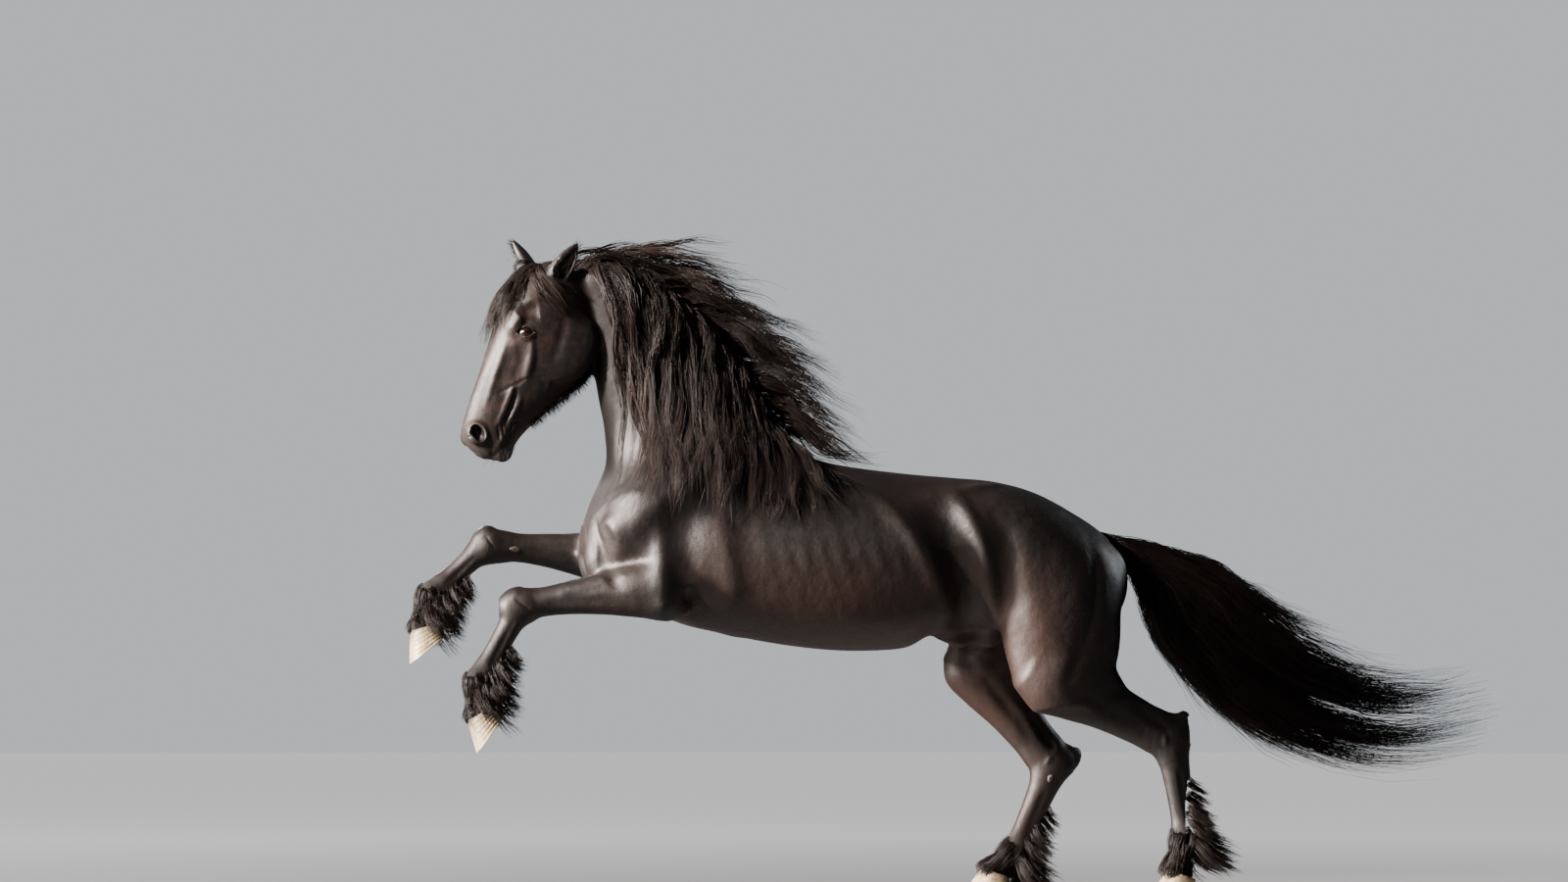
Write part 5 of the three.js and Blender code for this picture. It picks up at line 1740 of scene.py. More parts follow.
@dataclass
class Feather:
    """The long hair at the back of a cannon, and the cuff of hair down to the hoof."""

    name: str
    body: Body
    material: Material
    cannon: Stretch
    pastern: Stretch
    drift: Triple
    curl: Triple = (0.4, 0, 2.2)
    locks: int = 110
    cuff_locks: int = 110
    longest: float = 0.175
    cuff_length: float = 0.072
    seed: int = 51

    def build(self) -> None:
        """Grows the long locks and the cuff."""
        draw = np.random.default_rng(self.seed)
        self.long_locks(draw)
        self.cuff(draw)

    def long_locks(self, draw: Draw) -> None:
        """Locks from the sides and the back of the leg, longest at the fetlock.

        Args:
            draw: The source of random numbers.
        """
        count = self.locks
        back = self.cannon.rise * np.sign(np.array(self.drift) @ self.cannon.rise)
        share = draw.uniform(0.0, 1.0, count) ** 0.6
        end = self.cannon.table[-1, 0]
        along = end * (0.34 + 0.66 * share)
        turn = draw.uniform(-1, 1, count) * (0.5 + 1.0 * share)
        out = np.cos(turn)[:, None] * back + np.sin(turn)[:, None] * self.cannon.across
        roots = self.cannon.start + along[:, None] * self.cannon.axis + out * 40 * MM
        roots = self.body.settle(roots, 4, False, -3 * MM)
        heading = out * 0.75 + self.cannon.axis * 0.75 + draw.normal(0, 0.06, (count, 3))
        pull = np.array(self.drift) + draw.normal(0, 0.16, (count, 3))
        length = self.longest * (0.42 + 0.58 * share) * draw.uniform(0.8, 1.05, count)
        curl = np.array(self.curl) * draw.uniform(-0.1, 1.0, (count, 1))
        clear = draw.uniform(2, 14, count) * MM
        guides = Fall(self.body, steps=9).lines(roots, heading, pull, length, clear, curl)
        self.grow(self.name, guides, out, Strand(2.2 * MM), 15, 6, draw, 6 * MM)

    def cuff(self, draw: Draw) -> None:
        """Short locks all round the pastern, lying down over the top of the hoof.

        Args:
            draw: The source of random numbers.
        """
        count = self.cuff_locks
        share = draw.uniform(0.0, 1.0, count)
        first, last = self.pastern.table[0, 0], self.pastern.table[-1, 0]
        turn = draw.uniform(-np.pi, np.pi, count)
        out = np.cos(turn)[:, None] * self.pastern.rise + np.sin(turn)[:, None] * self.pastern.across
        along = first + (last - 14 * MM - first) * share
        roots = self.pastern.start + along[:, None] * self.pastern.axis + out * 42 * MM
        roots = self.body.settle(roots, 4, False, -2 * MM)
        heading = out * 0.18 + self.pastern.axis + draw.normal(0, 0.08, (count, 3))
        pull = self.pastern.axis * 0.8 + 0.15 * np.array(self.drift) + draw.normal(0, 0.15, (count, 3))
        length = self.cuff_length * draw.uniform(0.6, 1.1, count)
        clear = (2 + 7 * draw.uniform(0, 1, count)) * MM
        guides = Fall(self.body, steps=6, lying=0.8).lines(roots, heading, pull, length, clear)
        self.grow(self.name + "_cuff", guides, out, Strand(2.2 * MM), 12, 5, draw, 1.5 * MM)

    def grow(self, name: str, guides: Array, out: Array, strand: Strand, per_lock: int, points: int,
             draw: Draw, wave: float) -> None:
        """Grows the hair round guide lines and keeps it above the board.

        Args:
            name: The piece's name.
            guides: The locks' middle lines.
            out: The way out of the leg at each root.
            strand: The form of a hair.
            per_lock: Hairs in a lock.
            points: Points along a hair.
            draw: The source of random numbers.
            wave: The height of the waves.
        """
        low = FLOOR + draw.uniform(3, 12, (len(guides), 1)) * MM
        guides[..., 2] = np.maximum(guides[..., 2], low)
        outward = np.broadcast_to(out[:, None], guides.shape)
        Locks(name, self.body, guides, outward, per_lock, strand, 13 * MM, 7 * MM, points,
              gather=0.65, wave=0.6 * wave, wave_length=0.11, stray=1.1 * wave, shortest=0.55,
              seed=self.seed + per_lock).build(self.material)


class Nodes:
    """A tree of shader nodes, with short calls for making and joining them."""

    def __init__(self, tree: Group) -> None:
        """Takes the tree that the nodes go into."""
        self.tree = tree

    def node(self, kind: str, inputs: dict[str | int, object] | None = None,
             **settings: object) -> bpy.types.Node:
        """Adds a node.

        Args:
            kind: The node's type.
            inputs: What each input gets: a socket to join, or a value.
            **settings: The node's own settings.

        Returns:
            The node.
        """
        made = self.tree.nodes.new(kind)
        for key, value in settings.items():
            setattr(made, key, value)
        for key, value in (inputs or {}).items():
            self.give(made.inputs[key], value)
        return made

    def give(self, socket: Socket, value: object) -> None:
        """Joins a socket to another, or sets its value; a colour gets full cover.

        Args:
            socket: The socket.
            value: A socket to join, or a value.
        """
        if isinstance(value, Socket):
            self.tree.links.new(value, socket)
        else:
            socket.default_value = (*value, 1.0) if socket.type == "RGBA" else value

    def attribute(self, name: str) -> Socket:
        """A number stored on the piece's vertices."""
        return self.node("ShaderNodeAttribute", attribute_name=name).outputs["Fac"]

    def maths(self, operation: str, *values: object) -> Socket:
        """A sum or product of two numbers, kept from 0 to 1 for sums.

        Args:
            operation: The operation's name.
            *values: Sockets or numbers.

        Returns:
            The result.
        """
        made = self.node("ShaderNodeMath", operation=operation, use_clamp=operation == "ADD")
        for socket, value in zip(made.inputs, values):
            self.give(socket, value)
        return made.outputs[0]

    def times(self, *values: object) -> Socket:
        """The product of two numbers."""
        return self.maths("MULTIPLY", *values)

    def plus(self, *values: object) -> Socket:
        """The sum of two numbers, at most 1."""
        return self.maths("ADD", *values)

    def mix(self, share: object, first: object, second: object) -> Socket:
        """A mix of two colours.

        Args:
            share: The share of the second, from 0 to 1.
            first: The value at share 0.
            second: The value at share 1.

        Returns:
            The result.
        """
        made = self.node("ShaderNodeMix", data_type="RGBA")
        for socket, value in zip((made.inputs[0], made.inputs[6], made.inputs[7]), (share, first, second)):
            self.give(socket, value)
        return made.outputs[2]

    def blend(self, share: object, first: object, second: object) -> Socket:
        """A mix of two numbers.

        Args:
            share: The share of the second, from 0 to 1.
            first: The value at share 0.
            second: The value at share 1.

        Returns:
            The result.
        """
        made = self.node("ShaderNodeMix", data_type="FLOAT")
        for socket, value in zip((made.inputs[0], made.inputs[2], made.inputs[3]), (share, first, second)):
            self.give(socket, value)
        return made.outputs[0]

    def spread(self, value: object, low: float, high: float,
               first: object = 0.0, last: object = 1.0) -> Socket:
        """Spreads the numbers from low to high evenly from first to last."""
        sizes = {"Value": value, "From Min": low, "From Max": high, "To Min": first, "To Max": last}
        return self.node("ShaderNodeMapRange", sizes).outputs["Result"]

    def effect(self, group: Group, output: str, **values: object) -> Socket:
        """One output of a shared effect, with its inputs given by name.

        Args:
            group: The effect.
            output: The name of its output.
            **values: Its inputs, with underscores for spaces.

        Returns:
            The result.
        """
        made = self.node("ShaderNodeGroup", node_tree=group)
        for key, value in values.items():
            self.give(made.inputs[key.replace("_", " ")], value)
        return made.outputs[output]

    def bump(self, height: object, distance: float, strength: float = 1.0) -> Socket:
        """A normal bent by a height."""
        made = self.node("ShaderNodeBump", {"Height": height, "Distance": distance, "Strength": strength})
        return made.outputs["Normal"]


class Shader(Nodes):
    """A material with a Principled shader."""

    def __init__(self, name: str) -> None:
        """Makes an empty material of a name.

        Args:
            name: The material's name.
        """
        self.material = bpy.data.materials.new(name)
        self.material.use_nodes = True
        super().__init__(self.material.node_tree)
        self.principled = self.tree.nodes["Principled BSDF"]

    def surface(self, **values: object) -> None:
        """Gives the Principled shader's inputs, named with underscores for spaces."""
        for key, value in values.items():
            self.give(self.principled.inputs[key.replace("_", " ")], value)


class SharedEffect(Nodes):
    """A node group with named inputs and one output, a number."""

    def __init__(self, name: str, inputs: dict[str, object], output: str) -> None:
        """Makes the group with its sockets.

        Args:
            name: The group's name.
            inputs: Each input's name and value; None makes a vector that is always joined.
            output: The name of the output.
        """
        super().__init__(bpy.data.node_groups.new(name, "ShaderNodeTree"))
        for label, value in inputs.items():
            kind = "NodeSocketFloat" if isinstance(value, float) else "NodeSocketVector"
            socket = self.tree.interface.new_socket(label, in_out="INPUT", socket_type=kind)
            if value is not None:
                socket.default_value = value
        self.tree.interface.new_socket(output, in_out="OUTPUT", socket_type="NodeSocketFloat")
        self.given = self.tree.nodes.new("NodeGroupInput").outputs
        self.result = self.tree.nodes.new("NodeGroupOutput").inputs[output]


def streaks_effect() -> Group:
    """Fine streaks: noise on a vector scaled differently along and across the lie of hair.

    Returns:
        The group.
    """
    inputs = {"Vector": None, "Stretch": (1, 1, 1), "Scale": 100.0, "Detail": 3.0}
    s = SharedEffect("Streaks", inputs, "Height")
    factors = {0: s.given["Vector"], 1: s.given["Stretch"]}
    scaled = s.node("ShaderNodeVectorMath", factors, operation="MULTIPLY")
    noise = s.node("ShaderNodeTexNoise", {
        "Vector": scaled.outputs[0], "Scale": s.given["Scale"], "Detail": s.given["Detail"],
    })
    s.give(s.result, noise.outputs["Fac"])
    return s.tree


def mottle_effect() -> Group:
    """Soft patches: noise made steeper round its middle value.

    Returns:
        The group.
    """
    s = SharedEffect("Mottle", {"Vector": None, "Scale": 5.0, "Low": 0.35, "High": 0.65}, "Mask")
    noise = s.node("ShaderNodeTexNoise", {
        "Vector": s.given["Vector"], "Scale": s.given["Scale"], "Detail": 4.0,
    })
    steep = s.node("ShaderNodeMapRange", {
        "Value": noise.outputs["Fac"], "From Min": s.given["Low"], "From Max": s.given["High"],
    }, interpolation_type="SMOOTHSTEP")
    s.give(s.result, steep.outputs["Result"])
    return s.tree


@dataclass(frozen=True)
class CoatFinish:
    """The short coat: near black, browner on belly and face, glossy, with the grain of its lie. The belly's
    brown is partly painted bounce light from below, and the darker nostrils, ear cups and covered pasterns
    are painted shade.
    """

    black: Triple = (0.0048, 0.0033, 0.0029)
    brown: Triple = (0.036, 0.015, 0.0095)
    skin: Triple = (0.012, 0.009, 0.008)
    # Painted shade: the colour inside the nostrils and ear cups.
    inside: Triple = (0.006, 0.0035, 0.0035)
    gloss: float = 0.50
    dull: float = 0.60
    browning: float = 0.55
    patching: float = 0.14
    speckling: float = 0.34
    baring: float = 0.7
    relief: float = 5 * MM
    relief_strength: float = 0.9

    def material(self, streaks: Group, mottle: Group) -> Material:
        """Builds the finish on Object coordinates and the skin's own attributes.

        Args:
            streaks: The shared effect of fine streaks.
            mottle: The shared effect of soft patches.

        Returns:
            The finish.
        """
        s = Shader("black coat")
        place = s.node("ShaderNodeTexCoord").outputs["Object"]
        patches = s.effect(mottle, "Mask", Vector=place, Scale=4.0, Low=0.38, High=0.66)
        specks = s.effect(mottle, "Mask", Vector=place, Scale=36.0, Low=0.42, High=0.7)
        # The belly's brown: partly faded coat, partly painted bounce light from below.
        warm = s.plus(s.times(s.attribute("brown"), self.browning), s.times(patches, self.patching))
        warm = s.plus(warm, s.times(s.attribute("head"), s.times(specks, self.speckling)))
        coat = s.mix(warm, self.black, self.brown)
        coat = s.mix(s.times(s.attribute("bare"), self.baring), coat, self.skin)
        # Painted shade inside the nostrils and ear cups.
        coat = s.mix(s.attribute("hollow"), coat, self.inside)
        # Painted shade under the hair cuff: the pasterns are coloured plain black.
        coat = s.mix(s.attribute("feathered"), coat, self.black)
        grains = [
            s.effect(streaks, "Height", Vector=place, Stretch=stretch, Scale=1.0, Detail=2.0)
            for stretch in ((70, 420, 260), (380, 420, 90), (300, 420, 120), (420, 420, 60))
        ]
        grain = s.blend(s.attribute("neck"), grains[0], grains[1])
        grain = s.blend(s.attribute("head"), grain, grains[2])
        grain = s.blend(s.attribute("limb"), grain, grains[3])
        rough = s.blend(s.plus(s.times(specks, 0.5), s.attribute("bare")), self.gloss, self.dull)
        rough = s.blend(s.attribute("feathered"), rough, 0.95)
        lumps = s.effect(streaks, "Height", Vector=place, Stretch=(15, 15, 11), Scale=1.0, Detail=3.0)
        relief = s.blend(0.9, grain, lumps)
        s.surface(Base_Color=coat, Roughness=rough, Specular_IOR_Level=0.5)
        s.surface(Normal=s.bump(relief, self.relief, self.relief_strength))
        return s.material


@dataclass(frozen=True)
class HairFinish:
    """Long hair: black strands, some of them browner, with brown tips."""

    name: str = "long hair"
    black: Triple = (0.0055, 0.0042, 0.0040)
    brown: Triple = (0.026, 0.016, 0.012)
    roughness: float = 0.42

    def material(self, streaks: Group) -> Material:
        """Builds the finish from each strand's tint and its share from root to tip.

        Args:
            streaks: The shared effect of fine streaks.

        Returns:
            The finish.
        """
        s = Shader(self.name)
        place = s.node("ShaderNodeTexCoord").outputs["Object"]
        fine = s.effect(streaks, "Height", Vector=place, Stretch=(1, 1, 1), Scale=60.0, Detail=2.0)
        tint = s.attribute("tint")
        tip = s.attribute("tip")
        brown = s.plus(s.times(tint, 0.75), s.times(s.times(tip, tip), 0.2))
        brown = s.times(brown, s.plus(0.55, s.times(fine, 0.8)))
        s.surface(Base_Color=s.mix(brown, self.black, self.brown))
        s.surface(Roughness=s.blend(fine, self.roughness - 0.06, self.roughness + 0.12))
        s.surface(Specular_IOR_Level=0.22)
        return s.material


@dataclass(frozen=True)
class HornFinish:
    """Pale hoof horn with growth rings, darker streaks down the wall, darker towards the coronet, and earth
    in its grain here and there.
    """

    name: str = "hoof horn"
    pale: Triple = (0.62, 0.50, 0.30)
    dark: Triple = (0.115, 0.075, 0.045)
    darker_top_and_earth: Triple = (0.060, 0.042, 0.030)

    def material(self, streaks: Group, mottle: Group) -> Material:
        """Builds the finish on the hoof's own places, round it and up it.

        Args:
            streaks: The shared effect of fine streaks.
            mottle: The shared effect of soft patches.

        Returns:
            The finish.
        """
        s = Shader(self.name)
        flow = s.node("ShaderNodeAttribute", attribute_name="flow").outputs["Vector"]
        place = s.node("ShaderNodeTexCoord").outputs["Object"]
        lines = s.effect(streaks, "Height", Vector=flow, Stretch=(11, 11, 1.6), Scale=1.0, Detail=3.0)
        rings = s.effect(streaks, "Height", Vector=flow, Stretch=(0.4, 0.4, 17), Scale=1.0, Detail=1.0)
        stain = s.effect(mottle, "Mask", Vector=place, Scale=34.0, Low=0.46, High=0.66)
        height = s.node("ShaderNodeSeparateXYZ", {0: flow}).outputs["Z"]
        # Darker towards the top of the wall, by the coronet, and in random earth stains.
        up, streak = s.spread(height, 0.45, 1.0), s.spread(lines, 0.5, 0.68)
        horn = s.mix(s.times(streak, 0.75), self.pale, self.dark)
        horn = s.mix(s.plus(s.times(up, 0.7), s.times(stain, 0.4)), horn, self.darker_top_and_earth)
        grain = s.plus(s.times(lines, 0.4), s.times(rings, 0.6))
        s.surface(Base_Color=horn, Roughness=s.blend(stain, 0.42, 0.66), Normal=s.bump(grain, 1.2 * MM, 0.7))
        return s.material


@dataclass(frozen=True)
class EyeFinish:
    """A dark wet eye: brown iris round a long level pupil, and a dark rim."""

    iris: Triple = (0.022, 0.009, 0.004)
    pupil: Triple = (0.002, 0.002, 0.003)
    white: Triple = (0.020, 0.012, 0.010)

    def material(self, streaks: Group) -> Material:
        """Builds the finish from the eye's own masks.

        Args:
            streaks: The shared effect of fine streaks.

        Returns:
            The finish.
        """
        s = Shader("wet eye")
        place = s.node("ShaderNodeTexCoord").outputs["Object"]
        rays = s.effect(streaks, "Height", Vector=place, Stretch=(1, 1, 1), Scale=420.0, Detail=3.0)
        iris = s.mix(rays, self.iris, self.pupil)
        ball = s.mix(s.attribute("pupil"), iris, self.pupil)
        ball = s.mix(s.attribute("rim"), ball, self.pupil)
        ball = s.mix(s.attribute("white"), ball, self.white)
        s.surface(Base_Color=ball, Roughness=s.blend(rays, 0.03, 0.05))
        s.surface(Specular_IOR_Level=0.5, Coat_Weight=0.2, Coat_Roughness=0.02)
        return s.material


@dataclass(frozen=True)
class BoardFinish:
    """Matt grey paint on a wooden board, with a faint brushed grain and worn patches."""

    paint: Triple = (0.30, 0.31, 0.30)
    worn: Triple = (0.20, 0.20, 0.19)

    def material(self, streaks: Group, mottle: Group) -> Material:
        """Builds the finish on Object coordinates.

        Args:
            streaks: The shared effect of fine streaks.
            mottle: The shared effect of soft patches.

        Returns:
            The finish.
        """
        s = Shader("painted board")
        place = s.node("ShaderNodeTexCoord").outputs["Object"]
        grain = s.effect(streaks, "Height", Vector=place, Stretch=(9, 150, 150), Scale=1.0, Detail=4.0)
        scuffs = s.effect(mottle, "Mask", Vector=place, Scale=6.0, Low=0.5, High=0.72)
        s.surface(Base_Color=s.mix(s.times(s.plus(grain, scuffs), 0.35), self.paint,
                                   self.worn))
        s.surface(Roughness=s.blend(scuffs, 0.5, 0.62), Normal=s.bump(grain, 0.5 * MM, 0.5))
        return s.material


def closed_rows(points: Array) -> tuple[Array, Array]:
    """A closed surface through rows of points that go round, its two ends filled.

    Args:
        points: The places, as (row, column, 3).

    Returns:
        The vertices, and the triangles, which face outwards.
    """
    rows, columns = points.shape[:2]
    index = np.arange(rows * columns).reshape(rows, columns)
    ahead = np.roll(index, -1, 1)
    fans = [
        np.stack([ring[1:-1], ring[2:], np.full(columns - 2, ring[0])], 1)
        for ring in (index[0, ::-1], index[-1])
    ]
    triangles = np.concatenate([
        np.stack([index[:-1], ahead[:-1], ahead[1:]], -1).reshape(-1, 3),
        np.stack([index[:-1], ahead[1:], index[1:]], -1).reshape(-1, 3), *fans,
    ])
    vertices = points.reshape(-1, 3)
    a, b, c = ((vertices - vertices.mean(0))[triangles[:, k]] for k in range(3))
    volume = np.einsum("ij,ij->i", a, np.cross(b, c)).sum()
    return vertices, triangles if volume > 0 else triangles[:, ::-1]


def round_steps(count: int) -> Array:
    """Angles all the way round, as one row."""
    return np.linspace(-np.pi, np.pi, count, endpoint=False)[None]


@dataclass
class Eyeball:
    """An eyeball with a raised cornea, in its seat."""

    seat: EyeSeat
    node: str
    cornea: float = 1.9 * MM

    def build(self, material: Material) -> None:
        """Makes the ball: its radius grows by a bell curve of the angle from its middle.

        Args:
            material: The finish.
        """
        angle = np.linspace(0.004, np.pi - 0.004, 40)[:, None]
        turn = round_steps(64)
        radius = (self.seat.radius * MM + self.cornea * np.exp(-((angle / 0.62) ** 2))) * np.ones_like(turn)
        local = np.stack([radius * np.sin(angle) * np.cos(turn), radius * np.sin(angle) * np.sin(turn),
                          radius * np.cos(angle)], -1)
        piece = new_object(self.node + "_ball", *closed_rows(self.seat.centre + local @ self.seat.turns))
        flat = local.reshape(-1, 3) / (self.seat.radius * MM)
        away = np.where(flat[:, 2] < 0, 2.0, np.hypot(flat[:, 0], flat[:, 1]))
        oval = np.hypot(flat[:, 0] / 0.40, flat[:, 1] / 0.20)
        set_attribute(piece, "pupil", np.clip((1 - oval) * 7, 0, 1) * (flat[:, 2] > 0))
        set_attribute(piece, "rim", np.clip(1 - np.abs(away - 0.66) / 0.06, 0, 1))
        set_attribute(piece, "white", np.clip((away - 0.80) * 8, 0, 1))
        finish_piece(piece, material, (self.node,))


@dataclass
class Hoof:
    """A hoof: sloping wall with growth rings, coronet, and a hollow sole with its frog."""

    node: str
    middle: Array
    toeward: Array
    upward: Array
    sole: float = 134 * MM
    width: float = 128 * MM
    toe_height: float = 72 * MM
    toe_lean: float = math.radians(52)
    heel_height: float = 42 * MM
    heel_lean: float = 10 * MM
    side_lean: float = 9 * MM
    top_level: float = 1.12
    columns: int = 96

    def wall(self, level: Array, angle: Array) -> Array:
        """The wall's forward, sideways and upward places at shares of its height and angles.

        A level section is a rounded box, squarer at the heel. Its front leans back by the toe's
        slope and its back by the heel's. Rings of growth ripple it, and the heels have a cleft.

        Args:
            level: Shares of the height, 1 at the coronet.
            angle: Angles round the hoof, from the toe.

        Returns:
            The places.
        """
        c, s = np.cos(angle), np.sin(angle)
        lean = np.where(level > 1, 1.6 * (level - 1) + 1, level)
        height = level * (self.heel_height + (self.toe_height - self.heel_height) * (c + 1) / 2)
        front = self.sole / 2 - lean * self.toe_height / math.tan(self.toe_lean)
        back = -self.sole / 2 - np.minimum(lean, 1) * self.heel_lean
        square = 2 / np.where(c < 0, 3.2, 2.1)
        ripple = 0.5 * MM * np.sin(level * 34 + 0.6 * np.sin(angle * 2)) * (level < 1)
        cleft = 1 - 0.13 * np.exp(-(((np.abs(angle) - np.pi) / 0.16) ** 2))
        ahead = np.sign(c) * np.abs(c) ** square * ((front - back) / 2 + ripple) * cleft
        forward = (front + back) / 2 + ahead
        beside = np.sign(s) * np.abs(s) ** square * (self.width / 2 - lean * self.side_lean + ripple)
        return np.stack([forward, beside, height], -1)

    def under(self, share: Array, angle: Array) -> Array:
        """The sole: the ground edge drawn in by a share, hollow, with a raised frog and its cleft.

        Args:
            share: Shares of the way out to the edge.
            angle: Angles round the hoof, from the toe.

        Returns:
            The places, from the inside out.
        """
        edge = self.wall(np.zeros_like(share * angle), angle + 0 * share)
        forward = edge[..., 0] * share - 4 * MM * (1 - share)
        beside = edge[..., 1] * share
        hollow = 7 * MM * eased((0.92 - share) / 0.5)
        reach = np.clip((forward + self.sole / 2) / (self.sole * 0.68), 0, 1)
        half = np.maximum(25 * MM * (1 - reach), 0.5 * MM)
        frog = 6 * MM * np.exp(-((beside / half) ** 4)) * eased((1 - reach) * 4)
        cleft = 4 * MM * np.exp(-((beside / (4 * MM)) ** 2)) * eased((0.55 - reach) * 4) * (share < 0.93)
        return np.stack([forward, beside, np.maximum(hollow - frog + cleft, 0)], -1)

    def build(self, material: Material) -> None:
        """Makes the sole, the wall and the closed top as one surface.

        Args:
            material: The finish.
        """
        angle = round_steps(self.columns)
        shares = np.concatenate([[0.02], np.linspace(0.12, 0.86, 10), [0.9, 0.93, 0.97]])[:, None]
        levels = [[0.0, 0.015], np.linspace(0.06, 0.98, 26), [1.0, 1.04, self.top_level]]
        levels = np.concatenate(levels)[:, None]
        wall = self.wall(levels + 0 * angle, angle + 0 * levels)
        centre = wall[-1].mean(0)
        lids = [(centre + (wall[-1] - centre) * share)[None] for share in (0.6, 0.05)]
        local = np.concatenate([self.under(shares, angle), wall, *lids])
        turns = np.array([self.toeward, np.cross(self.upward, self.toeward), self.upward])
        piece = new_object(self.node + "_horn", *closed_rows(self.middle + local @ turns))
        rise = np.concatenate([0 * shares[:, 0], levels[:, 0], [self.top_level] * 2]) / self.top_level
        flow = np.stack(np.broadcast_arrays(np.cos(angle), np.sin(angle), rise[:, None]), -1)
        set_attribute(piece, "flow", flow.reshape(-1, 3))
        finish_piece(piece, material, (self.node,))


@dataclass
class Chestnut:
    """A chestnut: a low oval of rough horn on the inner side of a leg."""

    name: str
    body: Body
    centre: Array
    lengthwise: Array
    length: float = 34 * MM
    width: float = 17 * MM
    thickness: float = 5 * MM

    def build(self, material: Material) -> None:
        """Makes a low ragged dome on the skin.

        Args:
            material: The finish.
        """
        centre = self.body.settle(self.centre[None], 6, False)[0]
        outward = unit(self.body.slope(centre[None], self.body.gap))[0]
        along = unit(self.lengthwise - outward * (self.lengthwise @ outward))
        turn = round_steps(36)
        radius = np.array([1.0, 1.02, 0.96, 0.85, 0.65, 0.4, 0.05])[:, None]
        level = np.array([-0.9, 0.0, 0.5, 0.8, 1.0, 1.05, 1.08])[:, None]
        ragged = radius * (1 + 0.06 * np.sin(3 * turn + 1) + 0.04 * np.sin(7 * turn))
        local = np.stack([ragged * np.cos(turn) * self.length / 2, ragged * np.sin(turn) * self.width / 2,
                          (level + 0.12 * np.sin(9 * turn) * (level > 0.4)) * self.thickness], -1)
        turns = np.array([along, np.cross(outward, along), outward])
        piece = new_object(self.name, *closed_rows(centre + local @ turns))
        flow = np.stack(np.broadcast_arrays(ragged * np.cos(turn), ragged * np.sin(turn), 0.1 * radius), -1)
        set_attribute(piece, "flow", flow.reshape(-1, 3))
        finish_piece(piece, material)


@dataclass
class CoatTufts:
    """Short hairs that lie on the skin and break its outline."""

    body: Body
    skin: Piece
    count: int = 12000
    length: float = 12 * MM
    width: float = 1.0 * MM
    seed: int = 91

    def spread(self, draw: Draw) -> tuple[Array, Array]:
        """Random places on the skin, even by area, with the normals there.

        Args:
            draw: The source of random numbers.

        Returns:
            The places and the normals.
        """
        mesh = self.skin.data
        points = np.empty(len(mesh.vertices) * 3, np.float32)
        mesh.vertices.foreach_get("co", points)
        corners = np.empty(len(mesh.loops), np.int32)
        mesh.loops.foreach_get("vertex_index", corners)
        a, b, c = (points.reshape(-1, 3).astype(float)[corners.reshape(-1, 3)[:, k]] for k in range(3))
        normal = np.cross(b - a, c - a)
        area = np.linalg.norm(normal, axis=1)
        rows = draw.choice(len(a), self.count, p=area / area.sum())
        u, v = draw.uniform(0, 1, (2, self.count, 1))
        folded = (u + v) > 1
        u, v = np.where(folded, 1 - u, u), np.where(folded, 1 - v, v)
        return a[rows] + u * (b - a)[rows] + v * (c - a)[rows], unit(normal[rows])

    def lie(self, points: Array) -> Array:
        """The way the coat lies: back along the trunk, and down the neck, the head and the legs.

        Args:
            points: Places in metres, as rows of X, Y and Z.

        Returns:
            The direction at each point.
        """
        flows = [(TRUNK, np.array((1, 0, -0.3))), (NECK, -NECK.axis - 0.6 * NECK.rise), (HEAD, HEAD.axis)]
        for limbs in LIMBS.values():
            flows += [(solid, solid.axis) for solid in (*limbs.fore(), *limbs.hind())]
        total = np.zeros_like(points)
        for solid, way in flows:
            total += np.exp(-np.clip(solid.gap(points), 0, 1) / 0.02)[:, None] * unit(way)
        return unit(total)

    def build(self, material: Material) -> None:
        """Lays a short tapered hair at each place, along the lie and a little off the skin.

        Args:
            material: The finish.
        """
        draw = np.random.default_rng(self.seed)
        points, normals = self.spread(draw)
        in_head = HEAD.gap(points) < 0.01
        way = self.lie(points)
        way = unit(way - normals * np.einsum("ij,ij->i", way, normals)[:, None])
        way = unit(way + draw.normal(0, 0.12, way.shape))
        length = self.length * draw.uniform(0.5, 1.1, len(points)) * np.where(in_head, 0.45, 1)
        share = np.array((0.0, 1.0))[:, None]
        line = points[:, None] - normals[:, None] * 0.6 * MM
        line = line + (way[:, None] + normals[:, None] * 0.12) * share * length[:, None, None]
        outward = np.broadcast_to(normals[:, None], line.shape)
        widths = self.width * draw.uniform(0.7, 1.2, len(points)) * np.where(in_head, 0.6, 1)
        tint = draw.uniform(0, 0.7, len(points))
        for piece in Strand(self.width).mesh("coat_tufts", line, outward, widths, tint):
            finish_piece(piece, material)


@dataclass
class Fringe:
    """Loose hairs rooted along a line on the skin, such as lashes, whiskers or a jaw's beard."""

    name: str
    body: Body
    roots: Array
    heading: Array
    length: float
    width: float
    count: int
    spread: float = 2 * MM
    droop: float = 0.3
    scatter: float = 0.22
    seed: int = 1

    def build(self, material: Material) -> None:
        """Grows hairs from random places on the line; each bends down by the square of its length.

        Args:
            material: The finish.
        """
        draw = np.random.default_rng(self.seed)
        share = draw.uniform(0, 1, self.count)
        roots = along_lines(self.roots[None], share[None])[0] + draw.normal(0, self.spread, (self.count, 3))
        roots = self.body.settle(roots, 4, False, -1 * MM)
        way = unit(np.broadcast_to(self.heading, roots.shape) + draw.normal(0, self.scatter, roots.shape))
        length = self.length * draw.uniform(0.4, 1.1, self.count)
        t = np.linspace(0, 1, 6)[:, None]
        line = roots[:, None] + (way[:, None] * t - UP * self.droop * t**2) * length[:, None, None]
        outward = np.broadcast_to(np.array((0.3, 0.2, 1.0)), line.shape)
        widths = self.width * draw.uniform(0.7, 1.2, self.count)
        tint = draw.uniform(0, 0.5, self.count)
        for piece in Strand(self.width, 0.8).mesh(self.name, line, outward, widths, tint):
            finish_piece(piece, material)


